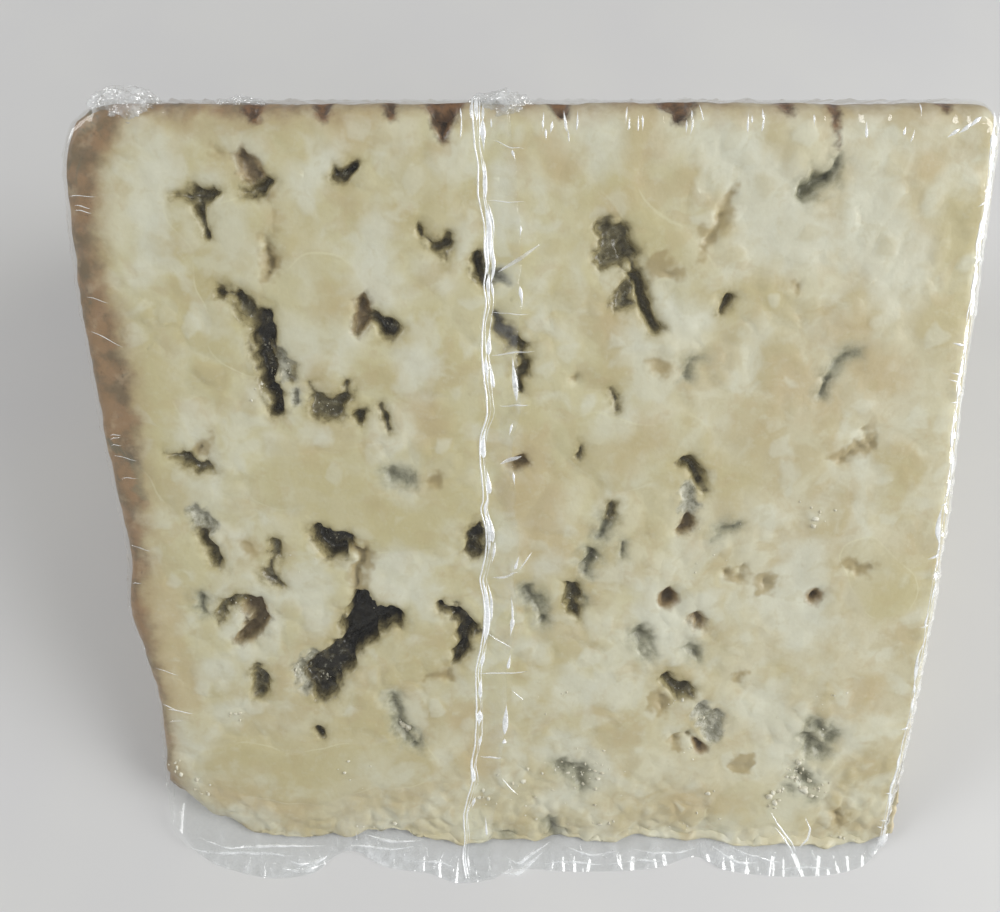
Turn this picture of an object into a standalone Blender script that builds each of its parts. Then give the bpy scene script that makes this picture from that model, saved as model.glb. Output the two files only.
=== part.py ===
"""A wedge of blue cheese sealed in clear stretch film, lying on one of its cut faces.

It is one ninth of a cheese wheel. X runs along the wheel's axis, so the wheel's two flat faces are the
wedge's left and right sides. Y runs from the wheel's centre, the thin tip, to the rind. +Z is up. The
solid is the outside of the film, which clings to the cheese, stands up as a lapped seam along the upper
cut face, bunches over the rind and lies flat on the table as a hem past the tip.

The shape is drawn in millimetres with the wheel's centre line at y = 0, z = 0, then moved so that the
origin is the middle of its box's underside, and scaled to metres. Below, s is the distance from the
wheel's centre line along the upper cut face.
"""

import math

import bmesh
import bpy
from mathutils import Matrix, Vector

MM = 0.001

# The wheel and the cut, in millimetres and radians
WHEEL_RADIUS = 96.6
WEDGE_ANGLE = math.radians(40)
CUT_EDGE_RADIUS = 2.0  # where a cut face meets the wheel's flat faces
RIND_EDGE_RADIUS = 2.4  # where a cut face meets the rind
LEFT_SHOULDER = 6.5  # rounding between the rind and the wheel's left face
RIGHT_SHOULDER = 3.2  # and its right face
INSET_SHARE = 0.42  # the most that an edge's rounding takes of the local thickness, from each cut face

# Outline of the upper cut face: (s, x)
LEFT_SIDE = [
    (-4, -48.3), (12, -48.7), (24, -48.2), (32, -49.2), (38, -50.2), (46, -49.3), (56, -50.0), (76, -50.6),
    (90, -50.2), (98, -50.0),
]
RIGHT_SIDE = [
    (-4, 49.0), (8, 49.8), (21, 50.5), (36, 50.7), (54, 50.3), (66, 49.6), (80, 49.2), (98, 48.6),
]
SEAM_LINE = [
    (-4, -9.0), (12, -7.7), (21, -7.0), (30, -6.2), (40, -5.5), (64, -5.3), (78, -5.0), (88, -5.1), (98, -6.3),
]
WIDTH_AT = 60.0  # the s at which the widths left and right of the seam are measured

# The film's free edge past the tip: (x, y)
HEM_THICKNESS = 0.9
HEM_LINE = [
    (-52, 7.0), (-49, 2.0), (-45, -1.1), (-40, -2.7), (-34, -3.5), (-28, -2.7), (-25, -0.6), (-22, -0.1),
    (-17.5, -2.0), (-10, -3.0), (-6, -4.1), (-1.3, -3.6), (1, -2.4), (10, -2.7), (20, -2.2), (25, -0.8),
    (29, -2.5), (38.5, -3.3), (46.5, -2.1), (49.3, 0.8), (52, 5.0),
]

# The lapped seam along the upper cut face and over the rind
SEAM_CREST = 1.3
SEAM_CREST_HALF_WIDTH = 1.0
SEAM_LAP = 0.6
SEAM_LAP_WIDTH = 3.2
SEAM_ON_RIND = 0.8  # what is left of the seam's height on the rind

# Bunches of film over the rind: (x, half width, how far they stand out)
BUNCHES = [(-42.9, 4.3, 2.7), (-30.8, 2.7, 1.3), (-3.7, 3.7, 2.6)]
BUNCH_FADE = 0.35  # what is left of a bunch's height at the lower edge
BUNCH_CLEAR = 8.0  # bunches and seam reach their full height this far above the table

# Unevenness of the crumbly paste under the film
WAVE_HEIGHT = 0.35
WAVE_LENGTH = 23.0
TIP_FADE = 12.0  # the surface is even at the tip and fully uneven from this s on
SIDE_FADE = 4.0  # and it is even at both sides

# How finely the surface is divided
FACE_STEPS = 22
EDGE_STEPS = 4
RIND_STEPS = 12
STATION_PITCH = 3.0
PITCH_SHARE = 0.9  # the evenly divided share of each half's width
LEFT_OF_SEAM = [0.5, 1.0]
RIGHT_OF_SEAM = [0.5, 1.0, 1.8, 4.0]
SHOULDER_TURNS = [0, 15, 30, 45, 65, 90]  # degrees round a shoulder
CUT_EDGE_TURNS = [35, 60]
SHARP_ANGLE = math.radians(40)


def through(points, at):
    """A smooth curve through (key, value) points, held level past its ends."""
    if at <= points[0][0]:
        return points[0][1]
    if at >= points[-1][0]:
        return points[-1][1]
    i = max(k for k in range(len(points) - 1) if points[k][0] <= at)
    before, start = points[max(i - 1, 0)], points[i]
    end, after = points[i + 1], points[min(i + 2, len(points) - 1)]
    run = end[0] - start[0]
    t = (at - start[0]) / run
    start_slope = (end[1] - before[1]) / (end[0] - before[0]) * run
    end_slope = (after[1] - start[1]) / (after[0] - start[0]) * run
    return (
        (2 * t**3 - 3 * t**2 + 1) * start[1]
        + (t**3 - 2 * t**2 + t) * start_slope
        + (3 * t**2 - 2 * t**3) * end[1]
        + (t**3 - t**2) * end_slope
    )


def swell(distance, reach):
    """A smooth hump: 1 in the middle and 0 from the reach outwards."""
    share = min(abs(distance) / reach, 1.0)
    return (1 + math.cos(math.pi * share)) / 2


def rise(distance, reach):
    """A smooth step from 0 to 1 over a distance."""
    share = min(max(distance / reach, 0.0), 1.0)
    return share * share * (3 - 2 * share)


def fillet_inset(distance, radius):
    """How far a rounded edge has fallen away at a distance from the side."""
    if distance >= radius:
        return 0.0
    return radius - math.sqrt(radius**2 - (radius - distance) ** 2)


def thickness(y):
    """Height of the upper cut plane over the table, never less than the hem's thickness."""
    plane = y * math.tan(WEDGE_ANGLE)
    return (plane + math.sqrt(plane**2 + 4 * HEM_THICKNESS**2)) / 2


def face_inset(y, cut_inset):
    """How far a cut face has fallen away by a side, which is less where the wedge is thin."""
    return min(cut_inset, INSET_SHARE * thickness(y))


def across(share, s):
    """x at a share from -1, the left side, over 0, the seam, to 1, the right side."""
    seam = through(SEAM_LINE, s)
    side = through(LEFT_SIDE, s) if share < 0 else through(RIGHT_SIDE, s)
    return seam + abs(share) * (side - seam)


def half_width(side):
    """How far the left side, -1, or the right side, 1, lies from the seam."""
    return abs(across(side, WIDTH_AT) - across(0, WIDTH_AT))


def wave(x, s):
    """Height of the paste's unevenness on the upper cut face."""
    turn = 2 * math.pi / WAVE_LENGTH
    return WAVE_HEIGHT * math.sin(turn * x + 1.3 * math.sin(turn * s)) * math.sin(0.8 * turn * s + 0.6)


def seam_height(from_seam):
    """Height of the lapped film: a crest on the seam line, then the flat lap on its right."""
    crest = SEAM_CREST * swell(from_seam, SEAM_CREST_HALF_WIDTH)
    lap = SEAM_LAP * swell(from_seam - SEAM_LAP_WIDTH / 2, SEAM_LAP_WIDTH * 0.75)
    return max(crest, lap)


def bunch_height(x, angle):
    """How far the bunched film stands out from the rind at an angle over the table."""
    fade = BUNCH_FADE + (1 - BUNCH_FADE) * max(angle, 0.0) / WEDGE_ANGLE
    return fade * sum(out * swell(x - middle, half) for middle, half, out in BUNCHES)


def stations():
    """The shares at which the wedge is cut across, closer together at both sides and at the seam."""
    found = {0.0}
    for side, shoulder, by_seam in ((-1, LEFT_SHOULDER, LEFT_OF_SEAM), (1, RIGHT_SHOULDER, RIGHT_OF_SEAM)):
        reach = half_width(side)
        even = int(PITCH_SHARE * reach / STATION_PITCH)
        from_seam = by_seam + [step * STATION_PITCH for step in range(1, even + 1)]
        for radius, turns in ((shoulder, SHOULDER_TURNS), (CUT_EDGE_RADIUS, CUT_EDGE_TURNS)):
            from_seam += [reach - radius * (1 - math.cos(math.radians(turn))) for turn in turns]
        found.update(side * distance / reach for distance in from_seam)
    return sorted(found)


def upper_point(share, s, from_side, cut_inset):
    """A point of the upper cut face, lifted square to it by the paste's unevenness and the seam."""
    x = across(share, s)
    y = s * math.cos(WEDGE_ANGLE) if s > 0 else s
    fade = min(1.0, max(0.0, s) / TIP_FADE) * min(1.0, from_side / SIDE_FADE)
    lift = (wave(x, s) + seam_height(x - across(0, s))) * fade
    height = thickness(y) - face_inset(y, cut_inset)
    return Vector((x, y - lift * math.sin(WEDGE_ANGLE), height + lift * math.cos(WEDGE_ANGLE)))


def rind_points(share, radius, cut_inset, corner):
    """The rounded lower edge, the rind and the rounded upper edge; corner is the angle each edge takes."""
    edge = RIND_EDGE_RADIUS
    top = WEDGE_ANGLE - corner
    reach = radius - edge
    lower_centre = Vector((0, reach * math.cos(corner), edge + cut_inset))
    upper_centre = Vector((0, reach * math.cos(top), reach * math.sin(top)))
    points = []
    for centre, out_to, first, last, steps in (
        (lower_centre, edge, -math.pi / 2, corner, EDGE_STEPS),
        (Vector(), radius, corner, top, RIND_STEPS),
        (upper_centre, edge, top, WEDGE_ANGLE + math.pi / 2, EDGE_STEPS),
    ):
        for step in range(1, steps + 1):
            angle = first + (last - first) * step / steps
            points.append(centre + out_to * Vector((0, math.cos(angle), math.sin(angle))))
    points.pop()  # the upper cut face ends there
    for point in points:
        distance = point.length
        x = across(share, distance)
        out = bunch_height(x, math.atan2(point.z, point.y))
        out += SEAM_ON_RIND * seam_height(x - across(0, distance))
        point.yz = point.yz * (1 + out * rise(point.z, BUNCH_CLEAR) / distance)
        point.x = x
    return points


def ring(share):
    """The wedge's closed outline where it is cut across: from the tip under it, up the rind and back."""
    from_side = (1 - abs(share)) * half_width(math.copysign(1, share))
    cut_inset = fillet_inset(from_side, CUT_EDGE_RADIUS)
    radius = WHEEL_RADIUS - fillet_inset(from_side, LEFT_SHOULDER if share < 0 else RIGHT_SHOULDER)
    corner = math.asin((RIND_EDGE_RADIUS + cut_inset) / (radius - RIND_EDGE_RADIUS))
    tip = through(HEM_LINE, across(share, WIDTH_AT))
    face_end = (radius - RIND_EDGE_RADIUS) * math.cos(corner)
    lower, upper = [], []
    for step in range(FACE_STEPS + 1):
        s = tip + (face_end - tip) * step / FACE_STEPS
        lower.append(Vector((across(share, s), s, face_inset(s, cut_inset))))
        upper.append(upper_point(share, s, from_side, cut_inset))
    return lower + rind_points(share, radius, cut_inset, corner) + upper[::-1]


def wedge_mesh():
    """The rings bridged into one surface, with each side closed by quads between lower and upper edge."""
    bm = bmesh.new()
    rings = [[bm.verts.new(point) for point in ring(share)] for share in stations()]
    count = len(rings[0])
    for a, b in zip(rings, rings[1:]):
        for i in range(count):
            j = (i + 1) % count
            bm.faces.new((a[i], a[j], b[j], b[i]))
    for side in (rings[0], rings[-1]):
        for i in range(count // 2 - 1):
            bm.faces.new((side[i], side[i + 1], side[count - 2 - i], side[count - 1 - i]))
        if count % 2:
            bm.faces.new(side[count // 2 - 1 : count // 2 + 2])
    bmesh.ops.recalc_face_normals(bm, faces=bm.faces)
    low = Vector([min(v.co[i] for v in bm.verts) for i in range(3)])
    high = Vector([max(v.co[i] for v in bm.verts) for i in range(3)])
    origin = Vector(((low.x + high.x) / 2, (low.y + high.y) / 2, low.z))
    bmesh.ops.transform(bm, matrix=Matrix.Scale(MM, 4) @ Matrix.Translation(-origin), verts=bm.verts)
    mesh = bpy.data.meshes.new("cheese_in_film")
    bm.to_mesh(mesh)
    bm.free()
    return mesh


def paste_material():
    """Moist ivory paste."""
    material = bpy.data.materials.new("blue_cheese_paste")
    material.use_nodes = True
    shader = material.node_tree.nodes["Principled BSDF"]
    shader.inputs["Base Color"].default_value = (0.62, 0.56, 0.38, 1.0)
    shader.inputs["Roughness"].default_value = 0.35
    shader.inputs["Metallic"].default_value = 0.0
    return material


def main():
    for obj in list(bpy.data.objects):
        bpy.data.objects.remove(obj)
    mesh = wedge_mesh()
    mesh.shade_smooth()
    mesh.set_sharp_from_angle(angle=SHARP_ANGLE)
    mesh.materials.append(paste_material())
    bpy.context.scene.collection.objects.link(bpy.data.objects.new("cheese_in_film", mesh))


main()
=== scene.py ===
"""The looks of a wedge of blue cheese sealed in clear stretch film.

Shapes are worked out in millimetres in the cheese wheel's own space: x along the wheel's axis, the wheel's
centre line at y = 0, z = 0, and the table at z = 0. s is the distance from the centre line along the upper
cut face. Each piece is moved into the frame and scaled to metres when its mesh is made.
"""

import itertools
import math
import time

import bmesh
import bpy
import numpy as np
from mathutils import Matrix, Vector
from mathutils.bvhtree import BVHTree


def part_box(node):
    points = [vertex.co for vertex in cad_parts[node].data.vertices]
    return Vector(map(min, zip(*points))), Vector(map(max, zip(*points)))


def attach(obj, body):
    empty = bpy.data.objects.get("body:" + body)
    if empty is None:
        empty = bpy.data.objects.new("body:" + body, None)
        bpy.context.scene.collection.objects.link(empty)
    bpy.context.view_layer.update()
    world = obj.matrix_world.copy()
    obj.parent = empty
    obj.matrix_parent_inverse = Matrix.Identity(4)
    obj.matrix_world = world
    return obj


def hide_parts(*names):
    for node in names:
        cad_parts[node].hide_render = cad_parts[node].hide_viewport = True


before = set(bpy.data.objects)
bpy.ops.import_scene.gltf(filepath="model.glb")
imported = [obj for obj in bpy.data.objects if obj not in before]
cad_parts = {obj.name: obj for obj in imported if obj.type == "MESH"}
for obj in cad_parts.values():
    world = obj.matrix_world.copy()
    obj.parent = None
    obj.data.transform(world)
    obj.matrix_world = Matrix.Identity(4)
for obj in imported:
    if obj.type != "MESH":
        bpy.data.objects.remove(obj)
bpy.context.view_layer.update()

MM = 0.001

# The wheel and the cut, in millimetres and radians
WHEEL_RADIUS = 96.6
WEDGE_ANGLE = math.radians(40)
UP_FACE = np.array((0, math.cos(WEDGE_ANGLE), math.sin(WEDGE_ANGLE)))  # along the upper cut face, to the rind
OFF_FACE = np.array((0, -math.sin(WEDGE_ANGLE), math.cos(WEDGE_ANGLE)))  # square to it
CUT_EDGE_RADIUS = 2.0
RIND_EDGE_RADIUS = 2.4
LEFT_SHOULDER = 6.5
RIGHT_SHOULDER = 3.2
INSET_SHARE = 0.42  # the most that an edge's rounding takes of the local thickness, from each cut face
WIDTH_AT = 60.0

# Outline of the upper cut face: (s, x)
LEFT_SIDE = [
    (-4, -48.3), (12, -48.7), (24, -48.2), (32, -49.2), (38, -50.2), (46, -49.3), (56, -50.0), (76, -50.6),
    (90, -50.2), (98, -50.0),
]
RIGHT_SIDE = [
    (-4, 49.0), (8, 49.8), (21, 50.5), (36, 50.7), (54, 50.3), (66, 49.6), (80, 49.2), (98, 48.6),
]
SEAM_LINE = [
    (-4, -9.0), (12, -7.7), (21, -7.0), (30, -6.2), (40, -5.5), (64, -5.3), (78, -5.0), (88, -5.1), (98, -6.3),
]

# The film's free edge past the tip, and the cheese's own tip: (x, y)
HEM_LINE = [
    (-52, 7.0), (-49, 2.0), (-45, -1.1), (-40, -2.7), (-34, -3.5), (-28, -2.7), (-25, -0.6), (-22, -0.1),
    (-17.5, -2.0), (-10, -3.0), (-6, -4.1), (-1.3, -3.6), (1, -2.4), (10, -2.7), (20, -2.2), (25, -0.8),
    (29, -2.5), (38.5, -3.3), (46.5, -2.1), (49.3, 0.8), (52, 5.0),
]
TIP_LINE = [
    (-52, 12.0), (-48, 9.5), (-44, 5.4), (-38, 2.9), (-31, 1.6), (-24, 2.4), (-16.5, 2.8), (-9, 1.6), (-2, 1.2),
    (4.5, 2.0), (13.5, 1.4), (24.5, 1.1), (33, 0.9), (42, 0.6), (47, 1.4), (52, 4.0),
]

# Hollows and stains in the upper cut face: kind, depth, and a chain of (x, s, radius)
OPENINGS = [
    ("olive", 1.5, [(-38.1, 86.8, 0.3), (-36.9, 86.7, 0.4), (-35.9, 87.1, 0.7), (-34.9, 87, 0.6),
        (-34, 87.3, 0.2)]),
    ("olive", 1.5, [(-35.9, 87.3, 0.5), (-35.8, 85.8, 0.6), (-35.5, 84.3, 0.5), (-35.1, 82.9, 0.2)]),
    ("olive", 1, [(-36.1, 88, 0.2), (-36, 87.2, 0.3)]),
    ("brown", 1.1, [(-31, 91.2, 0.4), (-30.3, 90.1, 0.8), (-29.6, 88.8, 1)]),
    ("olive", 1.8, [(-30.8, 87.5, 0.5), (-29.9, 87.6, 0.6), (-28.8, 87.6, 0.6), (-28.2, 88.3, 0.4)]),
    ("stain", 0.7, [(-28.2, 87.1, 0.2), (-28, 85.1, 0.1), (-28, 82.4, 0.1)]),
    ("stain", 1.3, [(-29.1, 82.1, 0.5), (-28.8, 80.3, 0.8), (-29, 78.4, 0.7)]),
    ("stain", 0.6, [(-33.6, 91.5, 0.5), (-32.7, 91.1, 0.4)]),
    ("black", 1.4, [(-21.1, 88.9, 0.3), (-20.3, 89.2, 0.7), (-19.3, 89.9, 0.5)]),
    ("olive", 1.6, [(-34.8, 76.8, 0.5), (-33.5, 76.7, 0.5), (-32.5, 76.1, 0.7), (-31.6, 74.6, 0.8),
        (-30.9, 73.3, 0.7)]),
    ("black", 2.1, [(-30, 74.4, 0.8), (-30.2, 72, 1.1), (-30.3, 70.1, 1.2), (-30.3, 68.3, 1.3),
        (-30, 66.6, 0.9), (-29.5, 64.7, 0.7), (-29.5, 63.1, 0.7)]),
    ("grey", 1, [(-28.5, 69.4, 0.7), (-27.9, 68.3, 0.8), (-27.8, 67.1, 0.6)]),
    ("olive", 1.2, [(-27.2, 68.5, 0.2), (-27.4, 66.6, 0.2)]),
    ("olive", 1.1, [(-25.1, 66, 0.2), (-24.5, 64.9, 0.5), (-24.3, 63.3, 1.1), (-22.9, 63.1, 1.2),
        (-21.7, 64.3, 0.7), (-21.1, 65.3, 0.5), (-21.2, 66.2, 0.3)]),
    ("olive", 1.3, [(-20.5, 62.7, 0.4), (-19.8, 62.3, 0.7)]),
    ("olive", 1.2, [(-17.4, 63.7, 0.2), (-17, 62.3, 0.4), (-16.5, 60.8, 0.2)]),
    ("brown", 1.4, [(-18.7, 75.3, 0.8), (-18.9, 74, 1), (-19.2, 72.8, 0.8)]),
    ("black", 1.7, [(-17.4, 73.7, 0.6), (-16.8, 72.9, 0.9), (-15.8, 72.5, 0.7)]),
    ("olive", 1.4, [(-12.6, 83.8, 0.1), (-11.5, 82.6, 0.4), (-10.7, 81.8, 0.6), (-9.5, 81.9, 0.5),
        (-9.2, 82.9, 0.2)]),
    ("olive", 1, [(-10, 81.2, 0.4), (-9.5, 80.1, 0.2)]),
    ("olive", 1.4, [(-42.3, 57.8, 0.2), (-41.3, 57.1, 0.6), (-39.9, 56.8, 0.8), (-38.8, 56.2, 0.6),
        (-37.6, 56.1, 0.2)]),
    ("stain", 1.2, [(-39.3, 57.7, 0.6), (-38.4, 58.7, 0.4)]),
    ("grey", 0.9, [(-39.9, 50.2, 1), (-39, 48.2, 1.1)]),
    ("olive", 1.6, [(-39.8, 48, 0.4), (-39.1, 46.5, 0.6), (-38.6, 44.8, 0.6), (-38, 43, 0.4)]),
    ("stain", 1, [(-34.7, 46.5, 0.3), (-33.9, 45.9, 0.4)]),
    ("olive", 0.8, [(-30.8, 46, 0.5), (-30.7, 45.2, 0.6), (-31.7, 43.4, 0.5), (-32, 42, 0.8),
        (-30.7, 40.4, 0.3)]),
    ("black", 2.4, [(-25.8, 47.7, 0.6), (-24.9, 46.7, 1.2), (-23.6, 45.8, 1.7), (-22.8, 46.3, 1.1)]),
    ("stain", 1.4, [(-21.6, 45.5, 0.8), (-20.4, 44.8, 0.9), (-21.2, 42.6, 0.6), (-21.2, 40.4, 0.6)]),
    ("olive", 1.1, [(-38.4, 35.7, 0.4), (-38, 37.7, 0.5), (-36.7, 38.6, 0.5), (-35.4, 38.5, 0.7)]),
    ("brown", 2.0, [(-35.1, 38.2, 0.9), (-34, 37.1, 1.4), (-33.8, 35.7, 1.2), (-35.3, 33.7, 0.8),
        (-36.6, 32.8, 0.4)]),
    ("green", 0.7, [(-40.7, 38.8, 0.8), (-40.7, 37.1, 0.7)]),
    ("black", 3.8, [(-20.6, 38.8, 0.7), (-21.1, 36.7, 1.6), (-21.4, 34.3, 2.3), (-22.3, 32, 1.6)]),
    ("black", 3.4, [(-20.4, 35.7, 1.6), (-18.6, 35.7, 1.5), (-17.1, 36.1, 1.1), (-16.5, 35.1, 0.5)]),
    ("black", 2.4, [(-22.8, 31.7, 1.8), (-24.7, 29.5, 2), (-26.4, 27.3, 2.3), (-26.5, 25.5, 1.7)]),
    ("grey", 1.4, [(-27.6, 30.2, 1), (-28.7, 28, 1.2), (-28.5, 25.8, 1)]),
    ("black", 1.8, [(-10.8, 37.5, 0.5), (-9.9, 37, 0.8), (-8.7, 36, 0.8), (-7.9, 34.3, 1.2),
        (-8.2, 32.4, 0.9), (-8.7, 30.8, 0.7), (-9.4, 29.6, 0.3)]),
    ("black", 1.4, [(-7.2, 34, 0.8), (-6.5, 33.7, 0.5)]),
    ("stain", 0.5, [(-12.6, 27, 0.8), (-10.7, 27.9, 0.8)]),
    ("black", 1.6, [(-6.3, 48.5, 0.6), (-6.6, 46.9, 1.1), (-6.8, 45.3, 0.9)]),
    ("black", 1.4, [(-6.1, 80.7, 0.5), (-6.1, 79.2, 0.5), (-5.4, 77.7, 0.5)]),
    ("grey", 1.4, [(-4, 78.6, 0.8), (-3.2, 78.1, 0.5)]),
    ("olive", 1.4, [(-4, 74, 0.4), (-3.5, 72.6, 0.8), (-2.6, 71.4, 0.7), (-1.2, 70.7, 0.5)]),
    ("olive", 1.4, [(-1, 69.4, 0.5), (-1.2, 67.8, 0.6), (-1.4, 65.9, 0.5)]),
    ("brown", 1.3, [(-2.2, 56.5, 0.6), (-1.2, 56.8, 0.7)]),
    ("olive", 1.1, [(7.6, 83.7, 0.9), (8.9, 82.5, 1.5), (8.2, 80.7, 1.5), (9.9, 81.3, 1.2)]),
    ("olive", 1.6, [(9.4, 81.6, 1), (10.6, 80.1, 0.6), (11.1, 78.6, 0.5), (11.7, 77.1, 0.5),
        (12.3, 75.3, 0.6), (13.5, 73.5, 0.4), (13.8, 72.4, 0.3)]),
    ("olive", 0.9, [(10.2, 77.0, 1.0), (9.9, 75.6, 1.1)]),
    ("olive", 1.4, [(20.7, 74.7, 0.2), (21.3, 75.4, 0.4), (21.6, 76.1, 0.4)]),
    ("green", 1.3, [(28.6, 87.5, 0.9), (29.8, 88.3, 1.1), (30.9, 88.8, 1.0), (31.5, 89.9, 0.5),
        (32.1, 90.8, 0.2)]),
    ("stain", 0.6, [(20.9, 87.2, 0.4), (20.1, 85.4, 0.9), (19.4, 83.7, 0.8), (18.5, 81.4, 0.4)]),
    ("stain", 0.6, [(13.4, 79.8, 0.5), (14.8, 78.4, 0.7)]),
    ("stain", 1, [(28.9, 77.6, 0.4)]),
    ("green", 0.9, [(36.3, 70.2, 0.5), (34.7, 69.1, 0.6), (33.6, 67.6, 0.6), (33.2, 65.3, 0.6)]),
    ("olive", 0.8, [(8.9, 65.7, 0.2), (9.5, 64.3, 0.3), (9.9, 63.1, 0.2)]),
    ("green", 0.8, [(18.5, 69.5, 0.3), (17.7, 68.5, 0.5), (17.4, 67.1, 0.5)]),
    ("stain", 0.8, [(4.7, 67.1, 0.7)]),
    ("olive", 0.9, [(5.8, 58.9, 0.3), (5.6, 57.5, 0.4)]),
    ("stain", 0.6, [(13.8, 69, 0.6), (14.6, 67.8, 0.5)]),
    ("olive", 1.4, [(17.8, 56.7, 0.5), (18.6, 56.6, 0.7), (19.5, 55.2, 0.6), (20.3, 53.2, 0.4)]),
    ("grey", 0.5, [(18.6, 53.2, 0.8), (18.9, 50.9, 1.0)]),
    ("brown", 1.3, [(19, 49.3, 0.7), (18.4, 47.9, 0.6)]),
    ("green", 0.7, [(24.4, 48.5, 0.7), (23.1, 48.2, 0.5), (22.2, 46.9, 0.3)]),
    ("stain", 0.8, [(38.4, 60.7, 0.6), (39.2, 59.1, 1), (37.9, 58.2, 0.8), (36.3, 57.2, 0.6)]),
    ("olive", 1.0, [(9.8, 51.0, 0.5), (9.4, 49.8, 0.5)]),
    ("green", 0.8, [(9.3, 49.6, 0.8), (8.9, 48.4, 0.8), (8.2, 46.7, 0.6)]),
    ("green", 1.2, [(7.4, 44.8, 1), (6.9, 42.9, 1)]),
    ("olive", 1.4, [(5, 40.2, 0.7), (5.4, 38.5, 0.9), (5.5, 36.8, 0.8)]),
    ("green", 1, [(6.7, 38.5, 0.5)]),
    ("green", 1, [(11, 46.3, 0.4), (11.1, 44.8, 0.4)]),
    ("green", 1, [(-0.5, 39.6, 1), (0.7, 38.2, 1.2), (1.6, 35.7, 0.7)]),
    ("hole", 1.4, [(17.1, 38.6, 1.3)]),
    ("brown", 1, [(20.6, 35.7, 0.7), (21.6, 34.8, 0.7)]),
    ("green", 0.9, [(20.2, 31.4, 0.7), (21.5, 30.8, 0.8)]),
    ("green", 0.9, [(13.9, 33.7, 1.2), (15, 30.8, 0.7)]),
    ("hole", 1.4, [(35.1, 38.9, 1)]),
    ("olive", 1.5, [(17.7, 27.1, 0.7), (19.2, 25.6, 1.2), (20.4, 25, 0.8)]),
    ("stain", 0.9, [(17.1, 24.4, 0.7), (17.5, 22.8, 0.4)]),
    ("grey", 0.9, [(22.6, 22, 1.3), (23.8, 20.6, 1.7), (24.2, 18.7, 1.1)]),
    ("stain", 0.9, [(19.6, 17.8, 0.9), (20.6, 18.4, 0.9)]),
    ("hole", 1.3, [(21.9, 17.6, 0.5), (22.8, 16.5, 0.9)]),
    ("stain", 0.4, [(27.3, 13.6, 1.0), (28.6, 13.8, 0.9)]),
    ("stain", 0.6, [(26.8, 27.3, 0.6)]),
    ("stain", 0.7, [(24, 42.2, 0.6)]),
    ("stain", 0.7, [(26.1, 43.4, 0.6), (25.6, 41.5, 0.6)]),
    ("stain", 0.6, [(28.9, 40.7, 0.8)]),
    ("stain", 0.7, [(38.9, 42.9, 0.8), (40.8, 42.5, 0.9)]),
    ("green", 0.9, [(36.6, 17.8, 1.2), (37.7, 16.5, 1.4), (38.7, 15.8, 0.9)]),
    ("green", 0.6, [(37.5, 20, 1.3), (39.4, 18.4, 1.2)]),
    ("green", 0.8, [(36.2, 12.1, 0.9), (38, 11.1, 0.7)]),
    ("green", 0.7, [(38.6, 8.5, 0.7)]),
    ("green", 0.7, [(35.1, 10.1, 0.7)]),
    ("stain", 0.7, [(42.0, 5.5, 0.7), (42.6, 4.3, 0.6)]),
    ("green", 0.6, [(-16.4, 55.2, 1), (-14.5, 54.7, 1)]),
    ("stain", 0.6, [(-11.7, 54.4, 0.9)]),
    ("olive", 1.1, [(-34.8, 28.5, 0.5), (-34.3, 26.7, 1), (-34.7, 24.9, 0.7)]),
    ("black", 1.1, [(-27.4, 19.8, 0.4), (-27.1, 18.6, 0.4)]),
    ("green", 0.9, [(-17.5, 24.3, 0.7), (-17.2, 21.8, 0.7), (-16.5, 19.7, 1), (-14.7, 17.2, 0.9)]),
    ("green", 0.6, [(4.2, 13.7, 1), (6.9, 12.7, 1.2), (7.4, 10.1, 0.7)]),
    ("green", 0.9, [(-2.6, 2.1, 0.8)]),
    ("green", 0.8, [(3.1, 4.1, 0.8), (4.5, 2.4, 0.8)]),
    ("grey", 0.9, [(-27.4, 65.6, 0.35), (-27, 64.2, 0.5)]),
]
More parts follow.
